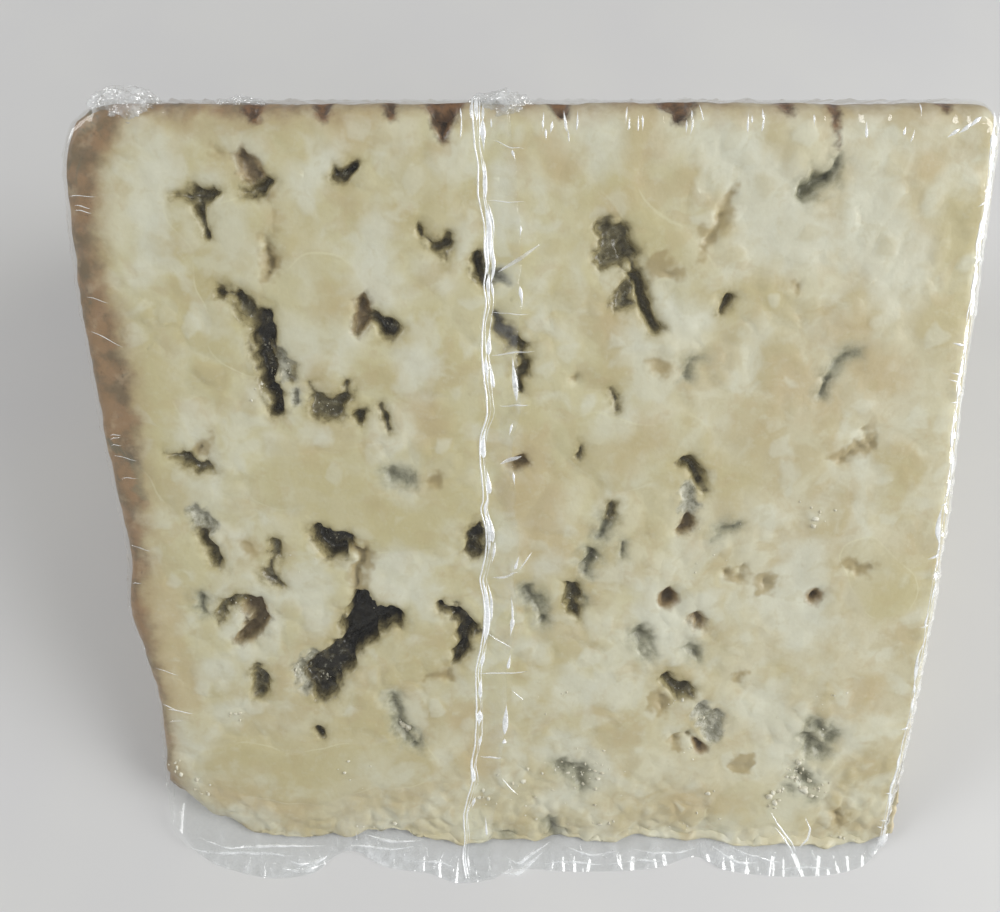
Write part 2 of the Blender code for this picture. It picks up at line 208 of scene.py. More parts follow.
# Where the paste is paler, yellower or browner, as chains too
PATCHES = {
    "pale": [
        [(-34.5, 88.6, 0.9)], [(-31.1, 80.8, 1.2), (-31.2, 78.7, 1.2)],
        [(-36.7, 85.1, 1.5), (-33.0, 84.5, 2.3), (-32.3, 81.4, 1.5)],
        [(-24.7, 88.8, 1.6), (-22.0, 90.2, 1.4)], [(-39.6, 89.1, 1.9), (-42.0, 81.4, 1.7)],
        [(-40.7, 59.7, 1.7), (-38.2, 56.0, 1.9), (-39.2, 52.1, 1.5)], [(-30.8, 64.5, 1.0)],
        [(-26.0, 70.9, 2.3), (-22.7, 70.9, 1.8)],
        [(-17.1, 83.0, 2.1), (-17.6, 79.2, 2.4), (-16.3, 76.0, 1.3)], [(-13.3, 68.6, 2.3)],
        [(-16.1, 42.6, 2.8), (-14.5, 39.9, 2.1)], [(-36.5, 37.0, 0.8)], [(-37.3, 34.4, 0.8)],
        [(-35.9, 30.5, 1.2)], [(-38.4, 22.0, 1.4)], [(-39.0, 28.0, 1.9)],
        [(-32.7, 38.8, 1.3), (-27.6, 40.2, 2.9), (-26.1, 36.0, 2.1)], [(8.9, 62.1, 1.6)],
        [(11.9, 71.5, 1.6)], [(13.9, 76.0, 1.5), (17.3, 73.7, 2.0)], [(1.8, 42.9, 1.5)],
        [(14.8, 38.8, 2.1), (16.4, 32.4, 3.5), (21.0, 38.8, 1.8)],
        [(29.6, 38.8, 2.4), (33.7, 34.6, 3.5), (33.3, 44.3, 2.3)], [(34.2, 50.2, 0.9)], [(37.0, 60.4, 0.8)],
        [(38.7, 56.2, 1.0)], [(19.1, 92.6, 2.4), (23.7, 87.6, 3.5), (28.5, 82.4, 3.6)],
        [(35.5, 86.6, 2.7), (39.7, 79.2, 3.7)], [(5.6, 95.1, 1.6), (6.7, 90.7, 1.4)],
        [(4.2, 16.3, 2.5), (9.5, 13.0, 2.6), (3.0, 8.0, 2.0)], [(31.0, 24.0, 2.6), (34.0, 17.0, 2.4)], [(5.9, 25.8, 3.0)], [(37.6, 10.3, 2.8), (34.8, 8.0, 1.8)],
        [(-46.4, 20.0, 1.3), (-44.7, 16.5, 1.2)], [(-3.7, 89.1, 1.0), (-3.2, 84.5, 1.3)],
        [(-7.3, 44.3, 1.0)], [(0.1, 31.7, 1.4)],
    ],
    "yellow": [
        [(-25.5, 85.1, 1.7), (-25.3, 81.4, 1.5)], [(-36.2, 89.7, 1.0), (-37.6, 88.6, 0.7)],
        [(-12.6, 88.6, 2.3), (-10.1, 86.1, 1.7)],
        [(-27.1, 56.0, 3.4), (-20.4, 50.2, 3.0), (-13.3, 48.2, 2.8)],
        [(-10.1, 58.4, 2.4), (-9.0, 52.1, 2.2)],
        [(-37.8, 17.3, 2.6), (-30.1, 14.2, 3.8), (-20.7, 18.9, 3.4)], [(11.2, 85.1, 1.5), (14.1, 81.9, 1.5)],
        [(22.7, 75.7, 2.0), (26.5, 76.0, 1.5)], [(44.5, 37.7, 2.6), (48.3, 41.5, 2.8)],
        [(46.2, 76.0, 1.8), (45.2, 86.6, 1.5)], [(31.7, 27.3, 1.7), (33.0, 21.2, 1.7)],
        [(16.2, 56.0, 1.5), (25.1, 54.7, 1.7)], [(-12.5, 31.7, 2.2), (-16.4, 27.3, 1.9)],
        [(4.6, 25.8, 1.9), (2.6, 31.7, 1.4)], [(-22.4, 76.0, 1.5), (-23.2, 80.3, 1.3)],
        [(-43.6, 64.5, 2.3), (-40.9, 72.6, 2.0)], [(2.9, 76.0, 1.3), (3.8, 81.4, 1.1)],
        [(43.3, 54.7, 1.7), (42.8, 49.6, 1.5)],
    ],
    "tan": [
        [(-0.7, 52.1, 3.0), (1.7, 44.9, 2.5), (-0.2, 57.8, 1.9)],
        [(11.3, 93.6, 1.4), (11.0, 88.6, 1.4), (9.2, 86.6, 1.3)], [(2.6, 89.7, 1.4), (1.3, 92.6, 0.8)],
        [(8.7, 73.7, 1.3)], [(29.2, 66.3, 2.1), (33.4, 63.9, 1.9)], [(34.0, 73.2, 1.6), (39.8, 67.4, 2.1)],
        [(-45.6, 38.8, 2.1), (-46.0, 30.2, 2.4), (-45.1, 24.3, 1.7)],
        [(-17.7, 77.1, 1.0), (-22.4, 74.8, 0.8)], [(-11.8, 60.9, 1.2), (-12.8, 63.5, 0.9)],
        [(20.5, 7.7, 1.6), (28.7, 6.5, 1.4)], [(-25.5, 58.2, 0.8)],
        [(-32.0, 6.5, 1.6), (-41.2, 9.8, 1.2)], [(13.7, 59.7, 2.1), (10.3, 57.0, 1.4)], [(41.2, 90.7, 1.6)],
        [(41.6, 81.4, 1.1), (40.7, 83.7, 0.8)], [(-1.6, 90.2, 0.8)], [(-19.7, 93.6, 1.4)],
        [(43.8, 24.3, 2.0)], [(20.4, 46.3, 1.0)], [(-6.3, 15.0, 2.0), (-7.6, 21.2, 1.4)],
    ],
}
# Where the rind's edge has crumbled away: depth and chain
NOTCHES = [
    (1.8, [(-9.5, 96.9, 2.0), (-9.6, 94.8, 1.1), (-9.6, 92.8, 0.2)]),
    (1.3, [(2.4, 96.9, 1.2), (2.7, 95.4, 0.5)]),
    (1.8, [(13.8, 97.1, 1.3), (15.4, 96.9, 1.3), (14.8, 94.8, 0.5)]),
    (0.5, [(26.0, 96.7, 0.8), (26.3, 95.6, 0.2)]),
    (0.4, [(30.9, 96.5, 0.4), (31.2, 93.8, 0.0), (31.7, 91.7, -0.2)]),
    (0.4, [(42.5, 96.7, 1.0), (42.6, 95.9, 0.2)]),
    (0.8, [(-15.2, 96.7, 0.5), (-15.0, 95.0, 0.2)]),
    (0.7, [(-22.1, 96.1, 0.7), (-22.0, 95.0, 0.3)]),
    (0.6, [(-29.4, 95.6, 0.9), (-29.2, 94.8, 0.3)]),
]
# Where the film lies flat and wet on the paste, and the paste shows more yellow
WET_PATCHES = [
    [(-37.8, 85.1, 2.3), (-32.7, 82.4, 4.3), (-30.3, 72.6, 5.6), (-23.5, 76.0, 4.8)],
    [(-44.6, 65.7, 2.8), (-43.2, 58.4, 3.6), (-41.0, 52.1, 3.2)],
    [(-22.2, 50.2, 3.5), (-15.6, 49.6, 4.2), (-8.5, 50.2, 4.2)],
    [(6.1, 59.7, 3.6), (11.5, 57.2, 4.1), (17.1, 59.7, 3.1)],
    [(-29.5, 54.7, 3.4), (-20.1, 54.7, 3.7)],
    [(10.8, 93.6, 1.8), (8.9, 88.6, 2.1), (12.4, 82.4, 2.3), (18.2, 77.1, 2.8)],
    [(-40.8, 13.4, 3.5), (-30.3, 11.7, 4.1), (-16.9, 15.0, 3.8)],
    [(28.7, 6.8, 3.9), (36.8, 6.0, 3.0)],
    [(40.0, 44.3, 2.6), (44.2, 40.2, 3.4)],
]
RIND_BAND = [(-4, 1.1), (9, 1.7), (28, 1.5), (38, 2.8), (48, 3.0), (56, 4.3), (66, 5.1), (74, 4.5), (80, 3.4),
             (86, 3.8), (90, 4.6), (93, 6.5), (97, 9.0)]  # (s, width) of the rind that shows beside the left edge

# Where pale grains of curd and mould lie: (x, s, spread, count, smallest radius, largest radius)
GRAINS = [
    (-30.1, 70.1, 1, 5, 0.07, 0.16), (-29.7, 67.1, 1.1, 12, 0.08, 0.24), (-30.7, 65.4, 0.9, 9, 0.08, 0.24),
    (-27.9, 67.8, 0.9, 6, 0.08, 0.2), (-23.4, 63.5, 1.2, 6, 0.06, 0.14), (-16.6, 73.1, 0.8, 5, 0.06, 0.14),
    (-24.2, 46.3, 1, 6, 0.06, 0.14), (-36.3, 37.9, 1.2, 8, 0.08, 0.2), (-29.1, 28.5, 1.4, 9, 0.08, 0.24),
    (-26.5, 25.8, 1.4, 8, 0.08, 0.22), (-19.6, 36.0, 1.6, 5, 0.06, 0.12), (-16.3, 19.7, 1, 7, 0.1, 0.55),
    (-9.9, 36.8, 0.7, 5, 0.06, 0.16), (7.2, 44.3, 1.2, 6, 0.06, 0.14), (5.4, 38.2, 0.8, 4, 0.05, 0.11),
    (19.9, 24.3, 1.4, 12, 0.08, 0.22), (22.8, 20.9, 1.6, 10, 0.08, 0.26), (21.9, 16.2, 1.2, 6, 0.08, 0.2),
    (6.1, 12.4, 2.4, 14, 0.1, 0.34), (9.5, 13.4, 2.6, 10, 0.1, 0.3), (36.1, 13.0, 1.8, 16, 0.14, 0.5),
    (38.0, 9.8, 2.2, 18, 0.14, 0.55), (33.4, 8.1, 1.8, 12, 0.14, 0.5), (0.0, 10.1, 4, 14, 0.1, 0.36),
    (-6.4, 8.5, 3.6, 10, 0.1, 0.3), (-37.9, 21.8, 1, 5, 0.14, 0.55), (-46.8, 13.4, 1.6, 8, 0.1, 0.34),
    (-43.2, 9.8, 2, 8, 0.1, 0.3), (-20.1, 2.6, 3, 8, 0.1, 0.36), (-24.2, 13.4, 4, 8, 0.08, 0.22),
    (9.8, 6.0, 5, 14, 0.1, 0.34), (22.0, 6.0, 5, 10, 0.1, 0.3), (42.7, 2.1, 2, 6, 0.1, 0.3),
    (37.4, 24.3, 4, 8, 0.08, 0.2), (4.0, 24.3, 5, 10, 0.06, 0.16), (20.6, 44.3, 5, 10, 0.06, 0.16),
    (-28.4, 38.8, 6, 10, 0.06, 0.16), (34.5, 49.6, 2.2, 8, 0.1, 0.4),
]

# The lapped seam on the upper face. Its fine ridge: (s, x)
SEAM_RIDGE = [
    (-3.6, -8.3), (-0.8, -8.8), (1.8, -8.5), (6, -8.6), (8.5, -8.1), (11.7, -7.4), (14.2, -7.5), (17.3, -7.0),
    (20.5, -6.8), (24.3, -6.7), (28.8, -6.75), (31.7, -6.2), (35.3, -5.7), (38.8, -5.7), (41.5, -6.15),
    (42.9, -5.9), (45.6, -5.4), (48.2, -5.4), (51.1, -5.95), (52.1, -5.7), (54.7, -5.8), (57.2, -6.0),
    (59.7, -6.0), (62.7, -5.2), (64.5, -5.2), (67.4, -5.5), (69.8, -5.7), (73.2, -5.6), (75.4, -5.25),
    (77.6, -5.45), (79.8, -5.2), (81.4, -5.4), (84, -5.4), (87.1, -6.0), (90.2, -6.0), (92.1, -6.3), (96, -6.6),
]
# Narrow folds beside the ridge, and along the edge of the lap: (from s, to s, distance right of the ridge,
# half width)
SEAM_FOLDS = [
    (91.3, 94.7, 0.93, 0.16), (86.8, 90.7, 0.74, 0.13), (79.0, 86.4, 0.54, 0.15), (82.4, 86.4, 0.96, 0.08),
    (78.7, 85.1, 0.25, 0.10), (77.9, 83.5, 0.86, 0.10), (74.5, 78.8, 0.44, 0.12), (75.1, 77.9, 0.88, 0.08),
    (69.8, 72.8, 0.78, 0.16), (65.0, 69.6, 0.34, 0.13), (66.0, 69.2, 0.90, 0.10), (57.5, 61.7, 0.35, 0.17),
    (53.0, 56.2, 0.71, 0.16), (50.1, 53.9, 0.47, 0.09), (43.1, 51.3, 0.36, 0.12), (46.7, 51.3, 0.72, 0.16),
    (43.3, 46.9, 1.02, 0.09), (32.3, 42.7, 0.37, 0.18), (35.8, 41.7, 0.92, 0.09), (28.4, 31.4, 0.63, 0.12),
    (24.5, 27.5, 0.51, 0.14), (20.1, 22.8, 0.39, 0.22), (16.3, 18.8, 0.65, 0.10), (11.5, 15.4, 0.12, 0.16),
    (6.7, 8.9, 0.94, 0.10), (-3.3, -0.3, 0.28, 0.12),
    (90.4, 91.7, 3.86, 0.08), (82.4, 84.0, 3.86, 0.06), (74.6, 77.5, 3.95, 0.12), (64.4, 69.6, 3.39, 0.16),
    (59.8, 61.7, 3.23, 0.08), (53.6, 55.7, 3.76, 0.08), (43.0, 45.0, 4.05, 0.10), (36.1, 39.5, 3.46, 0.08),
    (33.0, 36.5, 3.49, 0.15), (29.0, 31.2, 4.00, 0.12), (19.0, 23.7, 3.80, 0.20), (17.6, 18.4, 3.79, 0.15),
    (2.6, 6.0, 2.99, 0.08),
]
# Creases that cross the lap: (x, s) of one end, (x, s) of the other, and the half width
SEAM_CROSSINGS = [
    ((-5.3, 86.6), (-1.0, 86.3), 0.05), ((-3.9, 79.0), (0.6, 81.9), 0.22), ((-4.6, 74.5), (-0.4, 74.4), 0.05),
    ((-4.6, 69.8), (0.2, 70.1), 0.12), ((-3.7, 63.8), (-0.3, 63.9), 0.12), ((-3.7, 56.7), (-1.2, 57.7), 0.26),
    ((-4.6, 41.8), (-1.5, 42.5), 0.16), ((-6.7, 28.3), (-0.1, 28.5), 0.05), ((-6.3, 15.6), (-3.4, 15.3), 0.10),
    ((-2.2, 25.8), (-0.6, 24.3), 0.05), ((-1.4, 43.0), (0.2, 45.4), 0.10), ((-5.4, 34.2), (-2.2, 32.0), 0.05),
    ((-4.4, 92.6), (-1.2, 91.6), 0.06), ((-3.4, 12.0), (-1.4, 9.4), 0.05),
]
# Long slack creases near the right corner of the tip, as chains of (x, s)
CORNER_CREASES = [
    [(32.9, 6.4), (33.8, 4.8), (35.0, 3.0), (36.2, 1.4), (36.9, -0.4)],
    [(33.6, 4.0), (35.0, 2.2), (36.0, 0.6), (36.6, -1.0)],
    [(37.6, 5.6), (38.4, 3.8), (38.2, 2.0), (37.2, 0.4)],
]

CHEESE_INSET = 0.30  # from the film to the paste
LEFT_GAP = 0.0  # and how much further it is at the wheel's flat faces
RIGHT_GAP = -0.20
CHEESE_FACES = 190000
FILM_FACES = 190000


# ---------------------------------------------------------------- numbers and noise

def through(points, at):
    """A smooth curve through (key, value) points, held level past its ends."""
    keys, values = np.array(points, float).T
    at = np.clip(at, keys[0], keys[-1])
    i = np.clip(np.searchsorted(keys, at, side="right") - 1, 0, len(keys) - 2)
    before, after = np.maximum(i - 1, 0), np.minimum(i + 2, len(keys) - 1)
    run = keys[i + 1] - keys[i]
    t = (at - keys[i]) / run
    start_slope = (values[i + 1] - values[before]) / (keys[i + 1] - keys[before]) * run
    end_slope = (values[after] - values[i]) / (keys[after] - keys[i]) * run
    return (
        (2 * t**3 - 3 * t**2 + 1) * values[i]
        + (t**3 - 2 * t**2 + t) * start_slope
        + (3 * t**2 - 2 * t**3) * values[i + 1]
        + (t**3 - t**2) * end_slope
    )


def step_up(value, low, high):
    """A smooth step from 0 at low to 1 at high."""
    t = np.clip((value - low) / (high - low), 0, 1)
    return t * t * (3 - 2 * t)


NOISE_CELLS = 32


def noise(points, pitch, seed):
    """Smooth random values, about -1 to 1, that change over about one pitch."""
    table = np.random.default_rng(seed).normal(size=(NOISE_CELLS, NOISE_CELLS, NOISE_CELLS, 3))
    table /= np.linalg.norm(table, axis=-1, keepdims=True)
    at = points / pitch
    cell = np.floor(at).astype(int)
    part = at - cell
    fade = part**3 * (part * (6 * part - 15) + 10)
    total = np.zeros(len(points))
    for corner in itertools.product((0, 1), repeat=3):
        i, j, k = ((cell + corner) % NOISE_CELLS).T
        weight = np.where(corner, fade, 1 - fade).prod(axis=1)
        total += weight * (table[i, j, k] * (part - corner)).sum(axis=1)
    return total * 1.7


def line_noise(at, pitch, seed):
    """Noise along a line."""
    return noise(np.stack((at, 0 * at + 0.37 * pitch, 0 * at + 0.61 * pitch), axis=1), pitch, seed)


def curds(points, pitch, seed):
    """Rounded lumps that meet in creases: how far into its lump each point is, 0 to 1, and the lump's own tone."""
    table = np.random.default_rng(seed).random((NOISE_CELLS, NOISE_CELLS, NOISE_CELLS, 4))
    at = points / pitch
    base = np.floor(at).astype(int)
    first = np.full(len(points), 9.0)
    second = first.copy()
    tone = np.zeros(len(points))
    for step in itertools.product((-1, 0, 1), repeat=3):
        cell = base + step
        i, j, k = (cell % NOISE_CELLS).T
        seat = table[i, j, k]
        away = np.linalg.norm(cell + seat[:, :3] - at, axis=1)
        closer = away < first
        second = np.where(closer, first, np.minimum(second, away))
        tone = np.where(closer, seat[:, 3], tone)
        first = np.where(closer, away, first)
    return step_up(second - first, 0.0, 0.45), tone


def chain_distance(x, s, chain):
    """Distance to a chain of circles joined by tapering links; negative inside."""
    best = np.full(len(x), 99.0)
    for (x0, s0, r0), (x1, s1, r1) in zip(chain, chain[1:] or chain):
        run, rise = x1 - x0, s1 - s0
        t = np.clip(((x - x0) * run + (s - s0) * rise) / max(run**2 + rise**2, 1e-9), 0, 1)
        best = np.minimum(best, np.hypot(x - x0 - t * run, s - s0 - t * rise) - r0 - t * (r1 - r0))
    return best


def nearest(x, s, chains, reach):
    """Distance to the nearest of many chains, or reach where all are further."""
    best = np.full(len(x), float(reach))
    for chain in chains:
        places = np.array(chain)
        low, high = places.min(axis=0) - reach - places[:, 2].max(), places.max(axis=0) + reach
        near = np.flatnonzero((x > low[0]) & (x < high[0]) & (s > low[1]) & (s < high[1]))
        best[near] = np.minimum(best[near], chain_distance(x[near], s[near], chain))
    return best


# ---------------------------------------------------------------- the wedge's skin

def across(share, s):
    """x at a share from -1, the left side, over 0, the seam, to 1, the right side."""
    seam = through(SEAM_LINE, s)
    side = np.where(share < 0, through(LEFT_SIDE, s), through(RIGHT_SIDE, s))
    return seam + np.abs(share) * (side - seam)


def fillet(distance, radius):
    """How far a rounded edge has fallen away at a distance from the side."""
    return radius - np.sqrt(radius**2 - np.clip(radius - distance, 0, radius) ** 2)


def stations(pitch, edge_pitch, edge_reach):
    """Shares from -1 to 1 at which the wedge is cut across, closer together near both sides."""
    shares = [0.0]
    for side in (-1, 1):
        width = abs(float(across(np.array(side), WIDTH_AT) - across(np.array(0), WIDTH_AT)))
        away = list(CUT_EDGE_RADIUS * (1 - np.cos(np.linspace(0, math.pi / 2, 9))))
        while away[-1] < width - 1.5 * pitch:
            away.append(away[-1] + (edge_pitch if away[-1] < edge_reach else pitch))
        shares += [side * (1 - distance / width) for distance in away]
    return np.array(sorted(shares))


def wedge_skin(shares, spread, turns, hem, blunt):
    """Grids of points over the wedge: its lower and upper cut faces, its rind and its two sides.

    spread runs from 0, the tip, to 1, the rind; turns runs from 0 to 1 round the rind. hem is the tip's
    line; blunt rounds a tip that has a thickness of its own.
    """
    side = np.where(shares < 0, -1, 1)
    width = np.abs(across(side, WIDTH_AT) - across(0 * shares, WIDTH_AT))
    from_side = (1 - np.abs(shares)) * width
    cut_inset = fillet(from_side, CUT_EDGE_RADIUS)
    radius = WHEEL_RADIUS - np.where(
        shares < 0, fillet(from_side, LEFT_SHOULDER), fillet(from_side, RIGHT_SHOULDER)
    )
    corner = np.arcsin((RIND_EDGE_RADIUS + cut_inset) / (radius - RIND_EDGE_RADIUS))
    end = (radius - RIND_EDGE_RADIUS) * np.cos(corner)
    tip = through(hem, across(shares, WIDTH_AT))
    s = tip[:, None] + (end - tip)[:, None] * spread[None]
    x = across(shares[:, None] + 0 * s, s)
    y = np.where(s > 0, s * math.cos(WEDGE_ANGLE), s)
    if blunt:
        from_tip = np.clip((s - tip[:, None]) / blunt, 0, 1)
        middle = y * math.tan(WEDGE_ANGLE) / 2
        round_up = np.sqrt(1 - (1 - from_tip) ** 2)
        lean = (1 - from_tip) ** 2
        upper_top, lower_y = 2 * middle, s * (1 - lean) + y * lean
        inset = np.minimum(cut_inset[:, None], INSET_SHARE * upper_top)
        low_inset = np.minimum(cut_inset[:, None], INSET_SHARE * s * math.tan(WEDGE_ANGLE))
        upper = np.stack((x, y, middle + (middle - inset) * round_up), axis=-1)
        lower = np.stack((x, lower_y, middle - (middle - low_inset) * round_up), axis=-1)
    else:
        inset = np.minimum(cut_inset[:, None], INSET_SHARE * film_height(y))
        low_inset = np.minimum(cut_inset[:, None], INSET_SHARE * film_height(s))
        upper = np.stack((x, y, film_height(y) - inset), axis=-1)
        lower = np.stack((x, s, low_inset), axis=-1)
    rind = rind_grid(shares[:, None], radius, cut_inset, corner, turns)
    rind[:, 0], rind[:, -1] = lower[:, -1], upper[:, -1]
    grids = [lower, upper, rind]
    for k in (0, -1):
        grids.append(patch(lower[k], upper[k], rind[k]))
    return grids


def film_height(y):
    """Height of the upper film over the table, which lies nearly flat past the tip."""
    plane = y * math.tan(WEDGE_ANGLE)
    return (plane + np.sqrt(plane**2 + 4 * 0.28**2)) / 2


def rind_grid(share, radius, cut_inset, corner, turns):
    """The rind from the lower to the upper cut face, with both its edges rounded."""
    bend_share, edge = 0.12, RIND_EDGE_RADIUS
    low = np.clip(turns / bend_share, 0, 1)[None]
    middle = np.clip((turns - bend_share) / (1 - 2 * bend_share), 0, 1)[None]
    high = np.clip((turns - 1 + bend_share) / bend_share, 0, 1)[None]
    corner, reach, radius = corner[:, None], (radius - edge)[:, None], radius[:, None]
    top = WEDGE_ANGLE - corner
    on_low, on_high = (turns < bend_share)[None], (turns > 1 - bend_share)[None]
    angle = np.where(
        on_low, -math.pi / 2 + (corner + math.pi / 2) * low,
        np.where(on_high, top + (WEDGE_ANGLE + math.pi / 2 - top) * high, corner + (top - corner) * middle),
    )
    centre_angle = np.where(on_low, corner, np.where(on_high, top, angle))
    y = reach * np.cos(centre_angle) + (radius - reach) * np.cos(angle)
    z = reach * np.sin(centre_angle) + (radius - reach) * np.sin(angle)
    return np.stack((across(share + 0 * y, np.hypot(y, z)), y, z), axis=-1)


def patch(low, high, end):
    """A grid filling one side between its lower edge, upper edge and rind edge."""
    u = np.linspace(0, 1, len(low))[:, None, None]
    v = np.linspace(0, 1, len(end))[None, :, None]
    start = low[0] + (high[0] - low[0]) * v
    ruled = low[:, None] * (1 - v) + high[:, None] * v + start * (1 - u) + end[None] * u
    corners = (low[0] * (1 - v) + high[0] * v) * (1 - u) + (low[-1] * (1 - v) + high[-1] * v) * u
    return ruled - corners


def grid_faces(shape, start=0, closed=False):
    """Quads over a grid of points that starts at an index, joined round its second side if closed."""
    i = start + np.arange(shape[0] * shape[1]).reshape(shape[:2])
    if closed:
        i = np.concatenate((i, i[:, :1]), axis=1)
    return np.stack((i[:-1, :-1], i[1:, :-1], i[1:, 1:], i[:-1, 1:]), axis=-1).reshape(-1, 4)


def welded(grids):
    """A mesh, in millimetres, of grids of points whose borders meet."""
    starts = np.cumsum([0] + [g.shape[0] * g.shape[1] for g in grids])
    points = np.concatenate([g.reshape(-1, 3) for g in grids])
    faces = np.concatenate([grid_faces(g.shape, start) for g, start in zip(grids, starts)])
    mesh = bpy.data.meshes.new("skin")
    mesh.from_pydata(points, [], faces.tolist())
    bm = bmesh.new()
    bm.from_mesh(mesh)
    bmesh.ops.remove_doubles(bm, verts=bm.verts, dist=1e-3)
    bmesh.ops.recalc_face_normals(bm, faces=bm.faces)
    bm.to_mesh(mesh)
    bm.free()
    return mesh


def read(mesh):
    """A mesh's points and normals."""
    points, normals = np.empty(len(mesh.vertices) * 3), np.empty(len(mesh.vertices) * 3)
    mesh.vertices.foreach_get("co", points)
    mesh.vertex_normals.foreach_get("vector", normals)
    return points.reshape(-1, 3), normals.reshape(-1, 3)


def write(mesh, points):
    mesh.vertices.foreach_set("co", points.ravel())
    mesh.update()


def thinned(mesh, faces):
    """The mesh with its flat stretches made of fewer, larger triangles."""
    obj = bpy.data.objects.new("thinning", mesh)
    bpy.context.scene.collection.objects.link(obj)
    modifier = obj.modifiers.new("thinning", "DECIMATE")
    modifier.ratio = min(1.0, faces / sum(len(p.vertices) - 2 for p in mesh.polygons))
    found = bpy.data.meshes.new_from_object(obj.evaluated_get(bpy.context.evaluated_depsgraph_get()))
    bpy.data.objects.remove(obj)
    return found


def attribute(mesh, name, channels):
    """Stores up to four numbers for each point, for the material to read."""
    values = np.zeros((len(mesh.vertices), 4))
    values[:, : len(channels)] = np.stack(channels, axis=1)
    layer = mesh.attributes.new(name, "FLOAT_COLOR", "POINT")
    layer.data.foreach_set("color", values.ravel())


low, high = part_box("cheese_in_film")
CENTRE_LINE = np.array((
    low.x / MM - min(x for s, x in LEFT_SIDE), low.y / MM - min(y for x, y in HEM_LINE), 0,
))


def add_piece(name, mesh, material):
    """Moves a mesh from the wheel's space into the frame and makes it a piece that rides on the root."""
    points, _ = read(mesh)
    write(mesh, (points + CENTRE_LINE) * MM)
    mesh.name = name
    mesh.shade_smooth()
    mesh.materials.append(material)
    obj = bpy.data.objects.new(name, mesh)
    bpy.context.scene.collection.objects.link(obj)
    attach(obj, "root")
    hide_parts("cheese_in_film")
    return obj


# ---------------------------------------------------------------- the cheese

def face_place(points):
    """x, s and the height off the upper cut face for points anywhere in the wheel's space."""
    return points[:, 0], points @ UP_FACE, points @ OFF_FACE


KINDS = ("black", "green", "grey", "olive", "brown", "hole", "stain")
WALLS = {"green": 1.3, "grey": 0.9, "hole": 0.9, "stain": 1.6}  # how far in a hollow reaches its full depth


def openings_at(x, s):
    """Distances to the hollows of each kind, and how deep the paste is sunk in them."""
    flat = np.stack((x, s, 0 * x), axis=1)
    lump, _ = curds(flat, 2.4, 10)
    push = 0.60 * lump - 0.36
    x = x + 0.30 * noise(flat, 2.0, 11) + 0.16 * noise(flat, 0.7, 12)
    s = s + 0.30 * noise(flat, 2.0, 13) + 0.16 * noise(flat, 0.7, 14)
    distance = {kind: np.full(len(x), 9.0) for kind in KINDS}
    depth = np.zeros(len(x))
    for kind, deep, chain in OPENINGS:
        middle = np.array(chain)[:, :2].mean(axis=0)
        near = np.flatnonzero(np.hypot(x - middle[0], s - middle[1]) < 14)
        share = 0.25 if kind == "hole" else min(1.0, max(r for _, _, r in chain) / 0.8)
        away = chain_distance(x[near], s[near], chain) + share * push[near]
        distance[kind][near] = np.minimum(distance[kind][near], away)
        inner = deep * step_up(-away, -0.25, WALLS.get(kind, 0.65))
        rim = 0.13 * min(deep, 2) * step_up(-away, -1.5, 0.1)
        depth[near] = np.maximum(depth[near], inner + rim)
    for deep, chain in NOTCHES:
        away = chain_distance(x, s, chain)
        depth = np.maximum(depth, deep * step_up(-away, -0.3, 0.8))
    return distance, depth


def cheese_relief(points):
    """How far the paste stands out or is sunk, apart from its hollows."""
    big, _ = curds(points + 0.9 * noise(points, 4.0, 20)[:, None], 6.2, 21)
    small, _ = curds(points + 0.4 * noise(points, 2.0, 19)[:, None], 2.8, 22)
    rough = step_up(noise(points, 14.0, 23), -0.1, 0.45)
    crumbly = step_up(18 - points @ UP_FACE, 0, 14)
    swells = 0.16 * noise(points, 9.0, 24) + 0.06 * noise(points, 4.2, 25)
    lumps = 0.13 * (big - 0.8) + (0.05 + 0.09 * rough + 0.14 * crumbly) * (small - 0.75)
    return swells + lumps + 0.025 * noise(points, 1.1, 26) + crumbly * 0.12 * noise(points, 1.2, 27)


def wet_distance(points):
    """Distance to where the film clings wetly to the paste."""
    x, s, _ = face_place(points)
    flat = np.stack((x, s, 0 * x), axis=1)
    return nearest(x, s, WET_PATCHES, 8) + 0.45 * noise(flat, 3.0, 30) + 1.6 * noise(flat, 8.0, 32)


